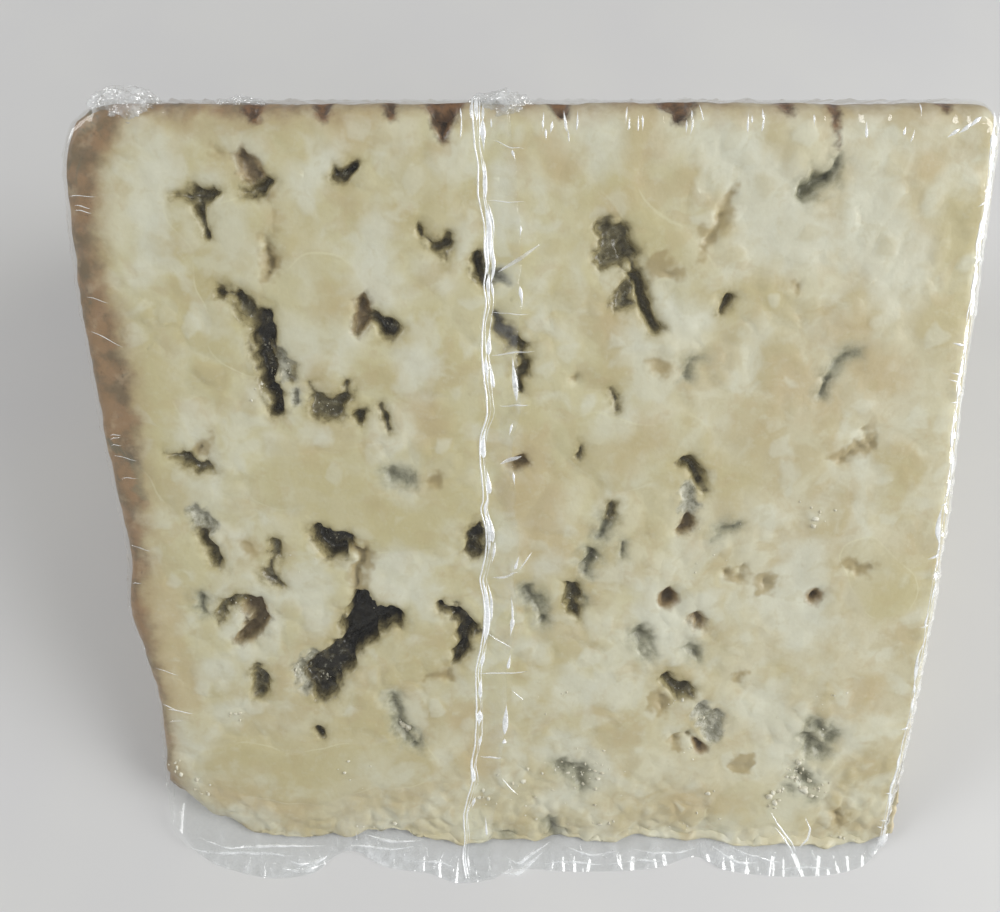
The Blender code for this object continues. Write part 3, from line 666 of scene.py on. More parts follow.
def cheese_mesh():
    shares = stations(0.30, 0.30, 0)
    spread = np.concatenate((np.linspace(0, 0.05, 22)[:-1], np.linspace(0.05, 1, 310)))
    low_bend, rise, high_bend = np.linspace(0, 0.12, 9), np.linspace(0.12, 0.88, 90), np.linspace(0.88, 1, 9)
    turns = np.concatenate((low_bend[:-1], rise[:-1], high_bend))
    mesh = welded(wedge_skin(shares, spread, turns, TIP_LINE, blunt=4.5))
    points, normals = read(mesh)
    x, s, off = face_place(points)
    points[:, 0] += LEFT_GAP * step_up(-x, 40, 49) - RIGHT_GAP * step_up(x, 40, 49)
    points -= normals * CHEESE_INSET
    ragged = 0.9 * line_noise(x, 6.0, 17) + 0.5 * line_noise(x, 1.9, 18)
    points[:, 1] += ragged * step_up(7 - s, 0, 6)
    on_face = step_up(off, -2.6, -1.2)
    _, sunk = openings_at(x, s)
    sunk *= on_face
    wet = step_up(wet_distance(points), 0.5, -1.0) * on_face
    floor = 0.30 * noise(points, 1.0, 28) + 0.24 * noise(points, 0.5, 29)
    relief = cheese_relief(points)
    out = relief + 0.7 * wet * (0.10 - relief) - sunk + floor * np.minimum(sunk / 1.2, 1)
    points = points + normals * np.minimum(out, CHEESE_INSET - 0.06)[:, None]
    points[:, 2] = np.maximum(points[:, 2], 0.06 + 0.05 * np.abs(noise(points, 3.0, 31)))
    write(mesh, points)
    mesh = thinned(mesh, CHEESE_FACES)
    points, _ = read(mesh)
    x, s, off = face_place(points)
    from_rind = WHEEL_RADIUS - np.hypot(points[:, 1], points[:, 2])
    distance, sunk = openings_at(x, s)
    covered = (off < -8.0) | (from_rind < 0.2)
    for kind in KINDS:
        distance[kind] = np.where(covered, 9.0, distance[kind])
    wet = np.where(off < -4, 6.0, wet_distance(points))
    rim_width = 0.35 + 0.9 * step_up(-x, 12, 30)
    rind = np.minimum(x - through(LEFT_SIDE, s) - through(RIND_BAND, s), from_rind - CHEESE_INSET - rim_width)
    notch = np.where(off < -6, 6.0, nearest(x, s, [chain for _, chain in NOTCHES], 6))
    rind = np.where(points[:, 2] < 0.5, 3.0, rind)
    right = through(RIGHT_SIDE, s) - x + 0.1
    big, big_tone = curds(points + 0.9 * noise(points, 4.0, 20)[:, None], 6.2, 21)
    small, small_tone = curds(points + 0.4 * noise(points, 2.0, 19)[:, None], 2.8, 22)
    big_tone, small_tone = 0.5 + (big_tone - 0.5) * big, 0.5 + (small_tone - 0.5) * small
    attribute(mesh, "mould", [distance[kind] for kind in ("black", "green", "grey", "olive")])
    attribute(mesh, "hollow", [distance[kind] for kind in ("brown", "hole", "stain")] + [wet])
    attribute(mesh, "notch", [notch])
    attribute(mesh, "edge", [rind, right, sunk, small_tone])
    attribute(mesh, "tone", [nearest(x, s, PATCHES[name], 6) for name in ("pale", "yellow", "tan")] + [big_tone])
    return mesh


# ---------------------------------------------------------------- materials

class Nodes:
    """Adds shader nodes to a material. Each call returns the new node's output, and inputs may be numbers."""

    def __init__(self, name):
        self.material = bpy.data.materials.new(name)
        self.material.use_nodes = True
        self.tree = self.material.node_tree
        self.tree.nodes.clear()
        self.output = self.tree.nodes.new("ShaderNodeOutputMaterial")

    def add(self, kind, out=0, inputs=None, **settings):
        node = self.tree.nodes.new("ShaderNode" + kind)
        for key, value in settings.items():
            setattr(node, key, value)
        for key, value in (inputs or {}).items():
            self.put(node.inputs[key], value)
        return node.outputs[out]

    def put(self, socket, value):
        if isinstance(value, bpy.types.NodeSocket):
            self.tree.links.new(value, socket)
        else:
            socket.default_value = value

    def math(self, operation, *values):
        return self.add("Math", operation=operation, inputs=dict(enumerate(values)))

    def noise(self, size_mm, detail=3.0, roughness=0.5, distortion=0.0):
        """Noise from 0 to 1 whose blobs are about size_mm across."""
        inputs = {"Vector": self.add("TexCoord", out="Object"), "Scale": 1 / (size_mm * MM), "Detail": detail,
                  "Roughness": roughness, "Distortion": distortion}
        return self.add("TexNoise", inputs=inputs)

    def step(self, value, low, high, to_low=0.0, to_high=1.0):
        inputs = {"Value": value, "From Min": low, "From Max": high, "To Min": to_low, "To Max": to_high}
        return self.add("MapRange", interpolation_type="SMOOTHSTEP", inputs=inputs)

    def mix(self, share, a, b):
        """A mix of two colours."""
        node = self.tree.nodes.new("ShaderNodeMix")
        node.data_type = "RGBA"
        self.put(node.inputs[0], share)
        for socket, value in ((node.inputs[6], a), (node.inputs[7], b)):
            self.put(socket, value if isinstance(value, bpy.types.NodeSocket) else (*value, 1.0))
        return node.outputs[2]

    def place(self, axis):
        """A coordinate in the frame, in metres."""
        return self.add("SeparateXYZ", out=axis, inputs={0: self.add("TexCoord", out="Object")})

    def channels(self, name):
        """The four numbers of a stored attribute."""
        node = self.tree.nodes.new("ShaderNodeAttribute")
        node.attribute_name = name
        parts = self.tree.nodes.new("ShaderNodeSeparateColor")
        self.tree.links.new(node.outputs["Color"], parts.inputs[0])
        return [*parts.outputs[:3], node.outputs["Alpha"]]

    def within(self, distance, ragged, soft, grow=0.0, most=1.0):
        """Up to most where a distance in millimetres is below grow, with a ragged, soft edge."""
        return self.step(self.math("SUBTRACT", distance, ragged), grow + soft, grow - soft, 0.0, most)


def cheese_material():
    """Moist ivory paste with mould, wet hollows and rind."""
    m = Nodes("cheese_paste")
    black, green, grey, olive = m.channels("mould")
    brown, hole, stain, wet = m.channels("hollow")
    rind, right, sunk, small_tone = m.channels("edge")
    pale, yellow, tan, big_tone = m.channels("tone")

    def spread(size, share, detail=4.0):
        return m.math("MULTIPLY", m.math("SUBTRACT", m.noise(size, detail, 0.6), 0.5), share)

    fine, wide = spread(0.9, 1.3), spread(4.5, 7.0, 3.0)

    across_mm = m.math("DIVIDE", m.place("X"), MM)
    greyer = m.step(m.math("ADD", across_mm, m.math("MULTIPLY", wide, 3.0)), 2.0, 34.0)
    near_tip = m.step(m.math("DIVIDE", m.place("Y"), MM), -18.0, -42.0, 0, 0.9)
    greyer = m.math("MAXIMUM", greyer, near_tip)
    base = m.mix(greyer, (0.605, 0.560, 0.335), (0.615, 0.565, 0.400))
    colour = m.mix(m.step(big_tone, 0.30, 0.90), base, (0.700, 0.675, 0.510))
    colour = m.mix(m.step(big_tone, 0.45, 0.12, 0, 0.60), colour, (0.520, 0.440, 0.235))
    colour = m.mix(m.step(m.noise(13, 2), 0.35, 0.65, 0, 0.40), colour, (0.585, 0.525, 0.305))
    colour = m.mix(m.step(m.noise(6.5, 3, 0.5, 0.5), 0.50, 0.62, 0, 0.50), colour, (0.520, 0.440, 0.250))
    colour = m.mix(m.step(m.noise(5.2, 3, 0.5, 0.4), 0.50, 0.63, 0, 0.55), colour, (0.700, 0.695, 0.560))
    colour = m.mix(m.within(yellow, wide, 1.6, 0.3, 0.60), colour, (0.560, 0.495, 0.270))
    colour = m.mix(m.within(tan, wide, 1.8, 0.3, 0.65), colour, (0.555, 0.450, 0.255))
    colour = m.mix(m.step(m.noise(3.2, 3, 0.55, 0.5), 0.54, 0.66, 0, 0.35), colour, (0.540, 0.440, 0.250))
    colour = m.mix(m.within(pale, wide, 1.7, 0.3, 0.75), colour, (0.700, 0.700, 0.575))
    colour = m.mix(m.step(small_tone, 0.60, 0.92, 0, 0.50), colour, (0.710, 0.705, 0.570))
    colour = m.mix(m.step(small_tone, 0.40, 0.08, 0, 0.30), colour, (0.510, 0.440, 0.240))
    colour = m.mix(m.step(m.noise(1.3, 3, 0.6), 0.54, 0.66, 0, 0.16), colour, (0.700, 0.690, 0.540))
    colour = m.mix(m.step(m.noise(1.8, 3, 0.6, 0.4), 0.44, 0.34, 0, 0.18), colour, (0.500, 0.430, 0.220))
    colour = m.mix(m.within(wet, 0.0, 0.30, 0.0, 0.22), colour, (0.530, 0.480, 0.250))
    outline = m.step(m.math("ABSOLUTE", m.math("SUBTRACT", wet, 0.1)), 0.03, 0.18, 1.0, 0.0)
    outline = m.math("MULTIPLY", outline, m.step(m.noise(7, 2), 0.45, 0.60, 0, 0.35))
    colour = m.mix(outline, colour, (0.740, 0.720, 0.500))
    colour = m.mix(m.step(m.noise(0.6, 3), 0.35, 0.65, 0.06, 0.0), colour, (0.40, 0.33, 0.16))
    # Painted shade: the paste is darkened towards brown the deeper it is sunk in hollows and notches
    colour = m.mix(m.step(sunk, 0.15, 1.6, 0.0, 0.55), colour, (0.330, 0.270, 0.115))

    speckle = m.noise(0.75, 4, 0.7)
    clumps = m.noise(1.5, 4, 0.65, 0.4)
    dark = m.math("MINIMUM", black, olive)
    colour = m.mix(m.within(dark, fine, 0.8, 0.60, 0.60), colour, (0.400, 0.335, 0.150))
    colour = m.mix(m.within(stain, wide, 0.6, 0.0, 0.75), colour, (0.380, 0.295, 0.135))
    grey_green = m.mix(m.step(speckle, 0.36, 0.64), (0.275, 0.272, 0.180), (0.420, 0.412, 0.300))
    colour = m.mix(m.within(green, fine, 1.2, 0.20, 0.80), colour, grey_green)
    green_core = m.mix(m.step(clumps, 0.40, 0.62), (0.125, 0.123, 0.076), (0.310, 0.305, 0.220))
    colour = m.mix(m.within(green, fine, 0.8, -0.50, 0.8), colour, green_core)
    light_grey = m.mix(m.step(speckle, 0.36, 0.62), (0.250, 0.244, 0.175), (0.500, 0.492, 0.400))
    colour = m.mix(m.within(grey, fine, 0.5, 0.05, 0.90), colour, light_grey)
    brown_tone = m.mix(m.step(clumps, 0.40, 0.62), (0.210, 0.150, 0.070), (0.400, 0.305, 0.160))
    colour = m.mix(m.within(brown, fine, 0.60, 0.10, 0.9), colour, brown_tone)
    colour = m.mix(m.within(brown, fine, 0.50, -0.60, 0.7), colour, (0.140, 0.098, 0.050))
    hole_tone = m.mix(m.within(hole, fine, 0.35, -0.45), (0.300, 0.215, 0.105), (0.130, 0.085, 0.042))
    colour = m.mix(m.within(hole, m.math("MULTIPLY", fine, 0.4), 0.35, 0.10, 0.95), colour, hole_tone)
    olive_tone = m.mix(m.step(clumps, 0.40, 0.62), (0.150, 0.122, 0.048), (0.330, 0.280, 0.135))
    colour = m.mix(m.within(olive, fine, 0.45, 0.05, 0.92), colour, olive_tone)
    core = m.mix(m.step(clumps, 0.44, 0.62), (0.090, 0.077, 0.038), (0.205, 0.182, 0.105))
    core = m.mix(m.step(speckle, 0.56, 0.66, 0, 0.80), core, (0.330, 0.320, 0.245))
    colour = m.mix(m.within(olive, fine, 0.38, -0.42, 0.85), colour, core)
    black_rim = m.mix(m.step(clumps, 0.40, 0.62), (0.105, 0.085, 0.034), (0.240, 0.200, 0.095))
    colour = m.mix(m.within(black, fine, 0.42, 0.02, 0.95), colour, black_rim)
    core = m.mix(m.step(clumps, 0.46, 0.64), (0.018, 0.015, 0.009), (0.105, 0.090, 0.048))
    core = m.mix(m.step(speckle, 0.565, 0.65, 0, 0.85), core, (0.330, 0.325, 0.260))
    colour = m.mix(m.within(black, fine, 0.42, -0.42, 0.93), colour, core)

    # Painted shade: near black where a hollow is deepest
    colour = m.mix(m.step(sunk, 2.4, 3.4, 0, 0.80), colour, (0.006, 0.005, 0.003))

    rind_tone = m.mix(m.step(m.noise(4.0, 4, 0.6), 0.40, 0.62), (0.310, 0.195, 0.105), (0.185, 0.135, 0.080))
    rind_tone = m.mix(m.step(m.noise(2.6, 3, 0.6), 0.52, 0.70, 0, 0.60), rind_tone, (0.440, 0.340, 0.215))
    rind_tone = m.mix(m.step(m.noise(7.0, 4, 0.7, 0.6), 0.57, 0.66, 0, 0.75), rind_tone, (0.140, 0.140, 0.100))
    rind_tone = m.mix(m.step(m.noise(0.6, 3, 0.6), 0.60, 0.74, 0, 0.45), rind_tone, (0.100, 0.062, 0.035))
    ragged = spread(3.0, 3.4)
    colour = m.mix(m.within(rind, ragged, 1.6, 0.9, 0.75), colour, (0.420, 0.320, 0.175))
    colour = m.mix(m.within(rind, ragged, 1.1, -0.3, 0.94), colour, rind_tone)
    right_tone = m.mix(m.step(m.noise(3.4, 4, 0.6), 0.40, 0.62), (0.610, 0.520, 0.345), (0.470, 0.370, 0.225))
    right_tone = m.mix(m.step(m.noise(1.6, 4, 0.65), 0.57, 0.70), right_tone, (0.300, 0.215, 0.130))
    colour = m.mix(m.within(right, spread(3.0, 2.4), 0.8, 0.0, 0.8), colour, right_tone)

    notch, *_ = m.channels("notch")
    notch_tone = m.mix(m.step(clumps, 0.40, 0.62), (0.060, 0.026, 0.010), (0.200, 0.095, 0.036))
    colour = m.mix(m.within(notch, fine, 0.50, 0.35, 0.92), colour, notch_tone)

    height = m.math("ADD", m.math("MULTIPLY", m.noise(0.45, 4, 0.6), 0.5), m.noise(1.5, 3, 0.5))
    bump = m.add("Bump", inputs={"Strength": 0.25, "Distance": 0.00020, "Height": height})
    rough = m.step(m.noise(2.6, 3), 0.35, 0.65, 0.30, 0.50)
    rough = m.math("SUBTRACT", rough, m.within(dark, fine, 0.3, 0.0, 0.14))
    shader = m.add("BsdfPrincipled", inputs={
        "Base Color": colour, "Roughness": rough, "Normal": bump, "Specular IOR Level": 0.4,
    })
    m.put(m.output.inputs["Surface"], shader)
    return m.material


def film_material():
    """Clear glossy film, hazy white where it is folded and less glossy where layers cling together.

    The "fold" attribute says how white it is and how much it clings; on narrow folds and the right edge that white is
    partly painted highlight.
    """
    m = Nodes("film_clear")
    haze, joined, *_ = m.channels("fold")
    facing = m.add("LayerWeight", out="Facing", inputs={"Blend": 0.5})
    slant = m.math("POWER", facing, 4.0)
    mirror = m.math("ADD", m.math("MULTIPLY", slant, 0.50), 0.034)
    mirror = m.math("MULTIPLY", mirror, m.math("SUBTRACT", 1.0, m.math("MULTIPLY", joined, 0.85)))
    mirror = m.math("ADD", mirror, m.math("MULTIPLY", haze, 0.22))
    bump = m.add("Bump", inputs={"Strength": 0.30, "Distance": 0.00008, "Height": m.noise(0.9, 0)})
    gloss = m.add("BsdfGlossy", inputs={"Color": (1, 1, 1, 1), "Roughness": 0.07, "Normal": bump})
    clear = m.add("BsdfTransparent", inputs={"Color": (0.985, 0.988, 0.985, 1)})
    # Diffuse white: the film's own haze in its folds, and painted highlight on the narrow folds and along the right
    # edge
    haze_and_painted_highlight = m.add("BsdfDiffuse", inputs={"Color": (0.92, 0.94, 0.95, 1)})
    veil = m.math("MULTIPLY", haze, m.step(m.noise(1.3, 4, 0.65), 0.30, 0.70, 0.35, 1.3))
    body = m.add("MixShader", inputs={0: veil, 1: clear, 2: haze_and_painted_highlight})
    m.put(m.output.inputs["Surface"], m.add("MixShader", inputs={0: mirror, 1: body, 2: gloss}))
    return m.material


def grain_material():
    """Dry, pale grains."""
    m = Nodes("pale_grains")
    colour = m.mix(m.step(m.noise(0.8, 3), 0.35, 0.65), (0.60, 0.56, 0.42), (0.74, 0.72, 0.60))
    shader = m.add("BsdfPrincipled", inputs={
        "Base Color": colour, "Roughness": 0.42,
    })
    m.put(m.output.inputs["Surface"], shader)
    return m.material


# ---------------------------------------------------------------- the film

def folds(along, away, seed, gap, reach, height, width=(0.22, 0.50)):
    """Small folds that run in from an edge. along is the place on the edge, and away how far in from it."""
    pick = np.random.default_rng(seed)
    out = np.zeros(len(along))
    place = float(along.min())
    while place < along.max():
        place += pick.uniform(*gap)
        thick, run, tall = pick.uniform(*width), pick.uniform(*reach), pick.uniform(*height)
        slant, bend = pick.normal(0, 0.22), pick.normal(0, 0.02)
        near = np.flatnonzero((np.abs(along - place) < 6) & (away < 2.2 * run))
        inward = np.maximum(away[near], 0)
        line = along[near] - place - slant * inward - bend * inward**2
        wide = thick * (1 + 0.25 * inward)
        out[near] += tall * np.exp(-((line / wide) ** 2)) * np.exp(-((inward / run) ** 1.6))
    return out


def film_form(points):
    """How far the film stands out from the wedge's skin, and how hazy white it is: from its folds, and along the right
    edge as painted highlight.
    """
    x, s, off = face_place(points)
    y, z = points[:, 1], points[:, 2]
    from_left = np.maximum(x - through(LEFT_SIDE, s), 0)
    from_right = np.maximum(through(RIGHT_SIDE, s) - x, 0)
    below, angle = np.maximum(-off, 0), np.arctan2(z, np.maximum(y, 1e-3))
    from_top = np.maximum(WHEEL_RADIUS - np.hypot(y, z), 0)
    down_rind = np.maximum(WEDGE_ANGLE - angle, 0) * WHEEL_RADIUS * step_up(2 - from_top, 0, 1)
    above_table = np.maximum(z, 0)
    creases = folds(s, from_left + 0.7 * below, 41, (0.9, 4.6), (1.6, 5.5), (0.06, 0.20))
    creases += folds(s, from_left + 0.7 * below, 42, (5, 16), (4.0, 11.0), (0.06, 0.16), (0.3, 0.5))
    right_creases = folds(s, from_right + 0.7 * below, 43, (0.9, 3.2), (1.0, 3.0), (0.05, 0.18), (0.20, 0.45))
    creases += right_creases
    creases += folds(s, from_right + 0.7 * below, 44, (6, 18), (3.0, 8.0), (0.08, 0.18), (0.3, 0.5))
    top_creases = folds(x, from_top + 0.45 * down_rind, 45, (0.7, 3.4), (1.2, 3.2), (0.08, 0.30), (0.12, 0.30))
    creases += top_creases
    creases += folds(x, from_top + 0.30 * down_rind, 46, (5, 15), (4.0, 9.0), (0.08, 0.18), (0.3, 0.5))
    low_edge = np.minimum(from_left, from_right) + 0.7 * above_table
    creases += folds(y, low_edge, 47, (1.2, 5.0), (1.6, 5.0), (0.08, 0.25)) * step_up(below, 2, 5)
    low_rind = from_top + 0.6 * above_table
    creases += folds(x, low_rind, 48, (1.2, 5.0), (1.6, 6.0), (0.08, 0.25)) * step_up(below, 4, 9)
    past_tip = s - through(HEM_LINE, x)
    on_top = step_up(off, -1.2, -0.2)
    gathers = folds(x, past_tip, 49, (0.5, 2.2), (1.6, 6.0), (0.10, 0.40), (0.16, 0.40)) * on_top
    loose = 0.09 * noise(points, 12.0, 51) + 0.03 * noise(points, 4.0, 52)
    right_bulge = step_up(3.0 - from_right, 0, 3) * 0.14 * line_noise(s, 4.4, 53)
    above = step_up(z, 0.05, 1.5)
    out = loose * step_up(s, 0, 10) + (creases + right_bulge) * np.maximum(above, on_top) + gathers
    hem = step_up(5.0 - past_tip, 0, 4) * step_up(4.0 - s, 0, 3.5)
    rim = np.exp(-np.maximum(past_tip, 0) / 0.30)
    haze = 0.008 + 0.12 * np.minimum(creases, 0.5) + 0.55 * np.minimum(gathers, 0.6)
    # Painted highlight over the film's own haze: strong white on the right edge's creases, for the glare along that
    # edge
    haze += 0.12 * top_creases * step_up(2.6 - from_top, 0, 2) + 0.9 * right_creases * step_up(3.0 - from_right, 0, 2)
    # Painted highlight: a scalloped white band along the right edge
    scallop = 1.2 + 0.6 * line_noise(s, 2.6, 54) + 0.25 * line_noise(s, 0.9, 55)
    haze += 0.12 * hem + 0.40 * rim + 0.32 * step_up(scallop - from_right, -0.20, 0.60) * step_up(4 - below, 0, 4)
    haze += 0.03 * np.exp(-from_left / 0.8)
    return out, haze


def film_mesh():
    shares = stations(0.30, 0.26, 7.0)
    near_tip, middle, near_rind = np.linspace(0, 0.08, 36), np.linspace(0.08, 0.93, 300), np.linspace(0.93, 1, 28)
    spread = np.concatenate((near_tip[:-1], middle[:-1], near_rind))
    low_bend, rise, high_bend = np.linspace(0, 0.12, 9), np.linspace(0.12, 0.88, 60), np.linspace(0.88, 1, 12)
    turns = np.concatenate((low_bend[:-1], rise[:-1], high_bend))
    mesh = welded(wedge_skin(shares, spread, turns, HEM_LINE, blunt=0))
    points, normals = read(mesh)
    out, _ = film_form(points)
    points = points + normals * out[:, None]
    points[:, 2] = np.maximum(points[:, 2], 0.02)
    write(mesh, points)
    mesh = thinned(mesh, FILM_FACES)
    points, _ = read(mesh)
    _, haze = film_form(points)
    attribute(mesh, "fold", [np.clip(haze, 0, 0.8)])
    return mesh


def film_outline():
    """The film's upper outline from the hem over the cut face and down the rind.

    Each row is p, y, z and the y and z of its normal. p is the distance along it, the same as s on the face.
    """
    corner = math.asin(RIND_EDGE_RADIUS / (WHEEL_RADIUS - RIND_EDGE_RADIUS))
    top, reach = WEDGE_ANGLE - corner, WHEEL_RADIUS - RIND_EDGE_RADIUS
    p = np.arange(-4.4, reach * math.cos(corner), 0.2)
    y = np.where(p > 0, p * math.cos(WEDGE_ANGLE), p)
    lean = WEDGE_ANGLE * step_up(p, -1, 1.5)
    rows = [np.stack((p, y, film_height(y), -np.sin(lean), np.cos(lean)), axis=1)]
    edge_centre = reach * np.array((math.cos(top), math.sin(top)))
    for radius, centre, first, last in (
        (RIND_EDGE_RADIUS, edge_centre, WEDGE_ANGLE + math.pi / 2, top), (WHEEL_RADIUS, np.zeros(2), top, 0.035),
    ):
        angle = np.linspace(first, last, 3 + int(radius * abs(last - first) / 0.2))[1:]
        way = np.stack((np.cos(angle), np.sin(angle)), axis=1)
        p = rows[-1][-1, 0] + radius * np.abs(angle - first)
        rows.append(np.column_stack((p, centre + radius * way, way)))
    return np.concatenate(rows)


OUTLINE = film_outline()


def on_film(x, p, lift):
    """A point over the film's upper side, from x, the distance p along its outline and the height off it."""
    y, z, out_y, out_z = (np.interp(p, OUTLINE[:, 0], OUTLINE[:, k]) for k in range(1, 5))
    from_side = np.minimum(x - through(LEFT_SIDE, p), through(RIGHT_SIDE, p) - x)
    lift = lift - np.minimum(fillet(from_side, CUT_EDGE_RADIUS), INSET_SHARE * z)
    return np.stack((x, y + lift * out_y, np.maximum(z + lift * out_z, 0.02)), axis=-1)


def strand(x, p, half, height, around=6):
    """Rows of points round a narrow fold whose crest runs along (x, p)."""
    along_x, along_p = np.gradient(x), np.gradient(p)
    length = np.maximum(np.hypot(along_x, along_p), 1e-6)
    turn = np.arange(around) * 2 * math.pi / around
    away = half[:, None] * np.cos(turn)
    lift = height[:, None] * (0.42 + 0.58 * np.sin(turn))
    return on_film(x[:, None] - away * (along_p / length)[:, None], p[:, None] + away * (along_x / length)[:, None], lift)


def tubes(parts):
    """One mesh of closed tubes.

    Each part is its rows of points, which go once round it, their milkiness and how much they cling.
    """
    points, faces, haze, joined, start = [], [], [], [], 0
    for rows, milk, cling in parts:
        count, around = rows.shape[:2]
        faces += grid_faces(rows.shape, start, closed=True).tolist()
        last = start + (count - 1) * around
        faces += [[start, start + i + 1, start + i] for i in range(1, around - 1)]
        faces += [[last, last + i, last + i + 1] for i in range(1, around - 1)]
        points.append(rows.reshape(-1, 3))
        haze.append(np.broadcast_to(milk, rows.shape[:2]).ravel())
        joined.append(np.full(count * around, cling))
        start += count * around
    mesh = bpy.data.meshes.new("tubes")
    mesh.from_pydata(np.concatenate(points), [], faces)
    bm = bmesh.new()
    bm.from_mesh(mesh)
    bmesh.ops.recalc_face_normals(bm, faces=bm.faces)
    bm.to_mesh(mesh)
    bm.free()
    attribute(mesh, "fold", [np.concatenate(haze), np.concatenate(joined)])
    return mesh


def spindle(x, p, half, height, milk, skew=1.0):
    """A fold that tapers to both its ends. It is thickest past its middle where skew is over 1."""
    t = np.clip(np.linspace(0, 1, len(x)), 0.015, 0.985) ** skew
    swell = np.sin(math.pi * t) ** (0.7 if skew == 1 else 1.3)
    return strand(x, p, half * swell, height * swell), milk, 0.0


# Cross-section of the lap, left to right: distance right of the ridge, height, milkiness
LAP_SECTION = [
    (-0.30, -0.04, 0.00), (-0.10, 0.03, 0.01), (0.20, 0.08, 0.01), (1.00, 0.09, 0.02), (1.60, 0.10, 0.04),
    (2.40, 0.10, 0.04), (3.10, 0.11, 0.05), (3.55, 0.13, 0.09), (3.80, 0.06, 0.05), (3.95, -0.04, 0.02),
]


def seam_mesh():
    """The lapped seam: a flat lap, a fine standing ridge at one side of it, and narrow folds along both. The ridge and
    folds are near-opaque white, partly the folded film's haze and partly painted highlight for the glints along the
    seam.
    """
    pick = np.random.default_rng(60)
    p = np.arange(-3.6, OUTLINE[-1, 0] - 1, 0.25)
    ridge = through(SEAM_RIDGE, p)
    keys = np.array(LAP_SECTION)
    at = np.linspace(keys[0, 0], keys[-1, 0], 34)
    height, milk = (np.interp(at, keys[:, 0], keys[:, k]) for k in (1, 2))
    edge = 0.30 * line_noise(p, 9.0, 61) + 0.10 * line_noise(p, 2.2, 62)
    near_ridge = np.exp(-np.maximum(at, 0) / 1.2)
    over_x = ridge[:, None] + at + edge[:, None] * (1 - near_ridge) * step_up(at, 0, 3)
    puff = 1 + 0.5 * line_noise(p, 5.0, 63)[:, None]
    over = on_film(over_x, p[:, None] + 0 * over_x, height * np.where(height > 0, puff, 1))
    share = np.linspace(0, 1, 8)[1:-1]
    under_x = over_x[:, -1:] + (over_x[:, :1] - over_x[:, -1:]) * share
    under = on_film(under_x, p[:, None] + 0 * under_x, -0.06)
    cloud = 1 + 0.9 * noise(over.reshape(-1, 3), 3.2, 64).reshape(over_x.shape)
    lap = np.concatenate((over, under), axis=1)
    parts = [(lap, np.concatenate((milk * cloud, 0 * under_x + 0.01), axis=1), 1.0)]

    wobble = 0.05 * line_noise(p, 1.3, 65)
    thick = 0.095 + 0.03 * line_noise(p, 2.6, 66)
    tall = 0.22 + 0.05 * line_noise(p, 3.0, 67)
    # Painted highlight: the ridge is solid white
    parts.append((strand(ridge + wobble, p, thick, tall), 1.0, 0.0))
    table = list(SEAM_FOLDS)
    for low_p, high_p in ((OUTLINE[0, 0] + 1, 0), (94.5, OUTLINE[-1, 0] - 3)):
        while low_p < high_p:
            long = pick.uniform(1.0, 6.0)
            table.append((low_p, low_p + long, pick.choice((0.4, 0.7, 3.6)), pick.uniform(0.06, 0.16)))
            low_p += long * pick.uniform(0.3, 1.6)
    # Painted highlight over the film's haze: white slivers beside the ridge and along the lap's edge
    for start, end, right, half in table:
        along = np.linspace(start, end, 6 + int((end - start) / 0.25))
        drift = pick.uniform(-0.16, 0.16) * (along - along.mean()) / (end - start)
        place = through(SEAM_RIDGE, along) + right + drift + 0.03 * line_noise(along + 7 * right, 0.9, 68)
        tall, milk, skew = pick.uniform(0.14, 0.20), pick.uniform(0.9, 1.0), pick.choice((0.45, 0.7, 1.5, 2.2))
        parts.append(spindle(place, along, 2.0 * half, tall, milk, skew))
    # Painted highlight: thin white strands woven beside the ridge
    for right, seed in ((0.40, 85), (0.68, 86)):
        weave = 0.22 * line_noise(p, 5.0, seed) + 0.10 * line_noise(p, 1.7, seed + 3)
        thin = 0.035 + 0.040 * np.maximum(line_noise(p, 3.4, seed + 6), -0.7)
        parts.append((strand(ridge + right + weave, p, thin, 0.10 + thin), 0.95, 0.0))
    for (x0, s0), (x1, s1), half in SEAM_CROSSINGS:
        t = np.linspace(0, 1, 16)
        place = x0 + (x1 - x0) * t
        along = s0 + (s1 - s0) * t + 0.20 * line_noise(place + s0, 1.6, 69)
        parts.append(spindle(place, along, half, 0.26, 0.30 if half > 0.1 else 0.45))
    return tubes(parts)


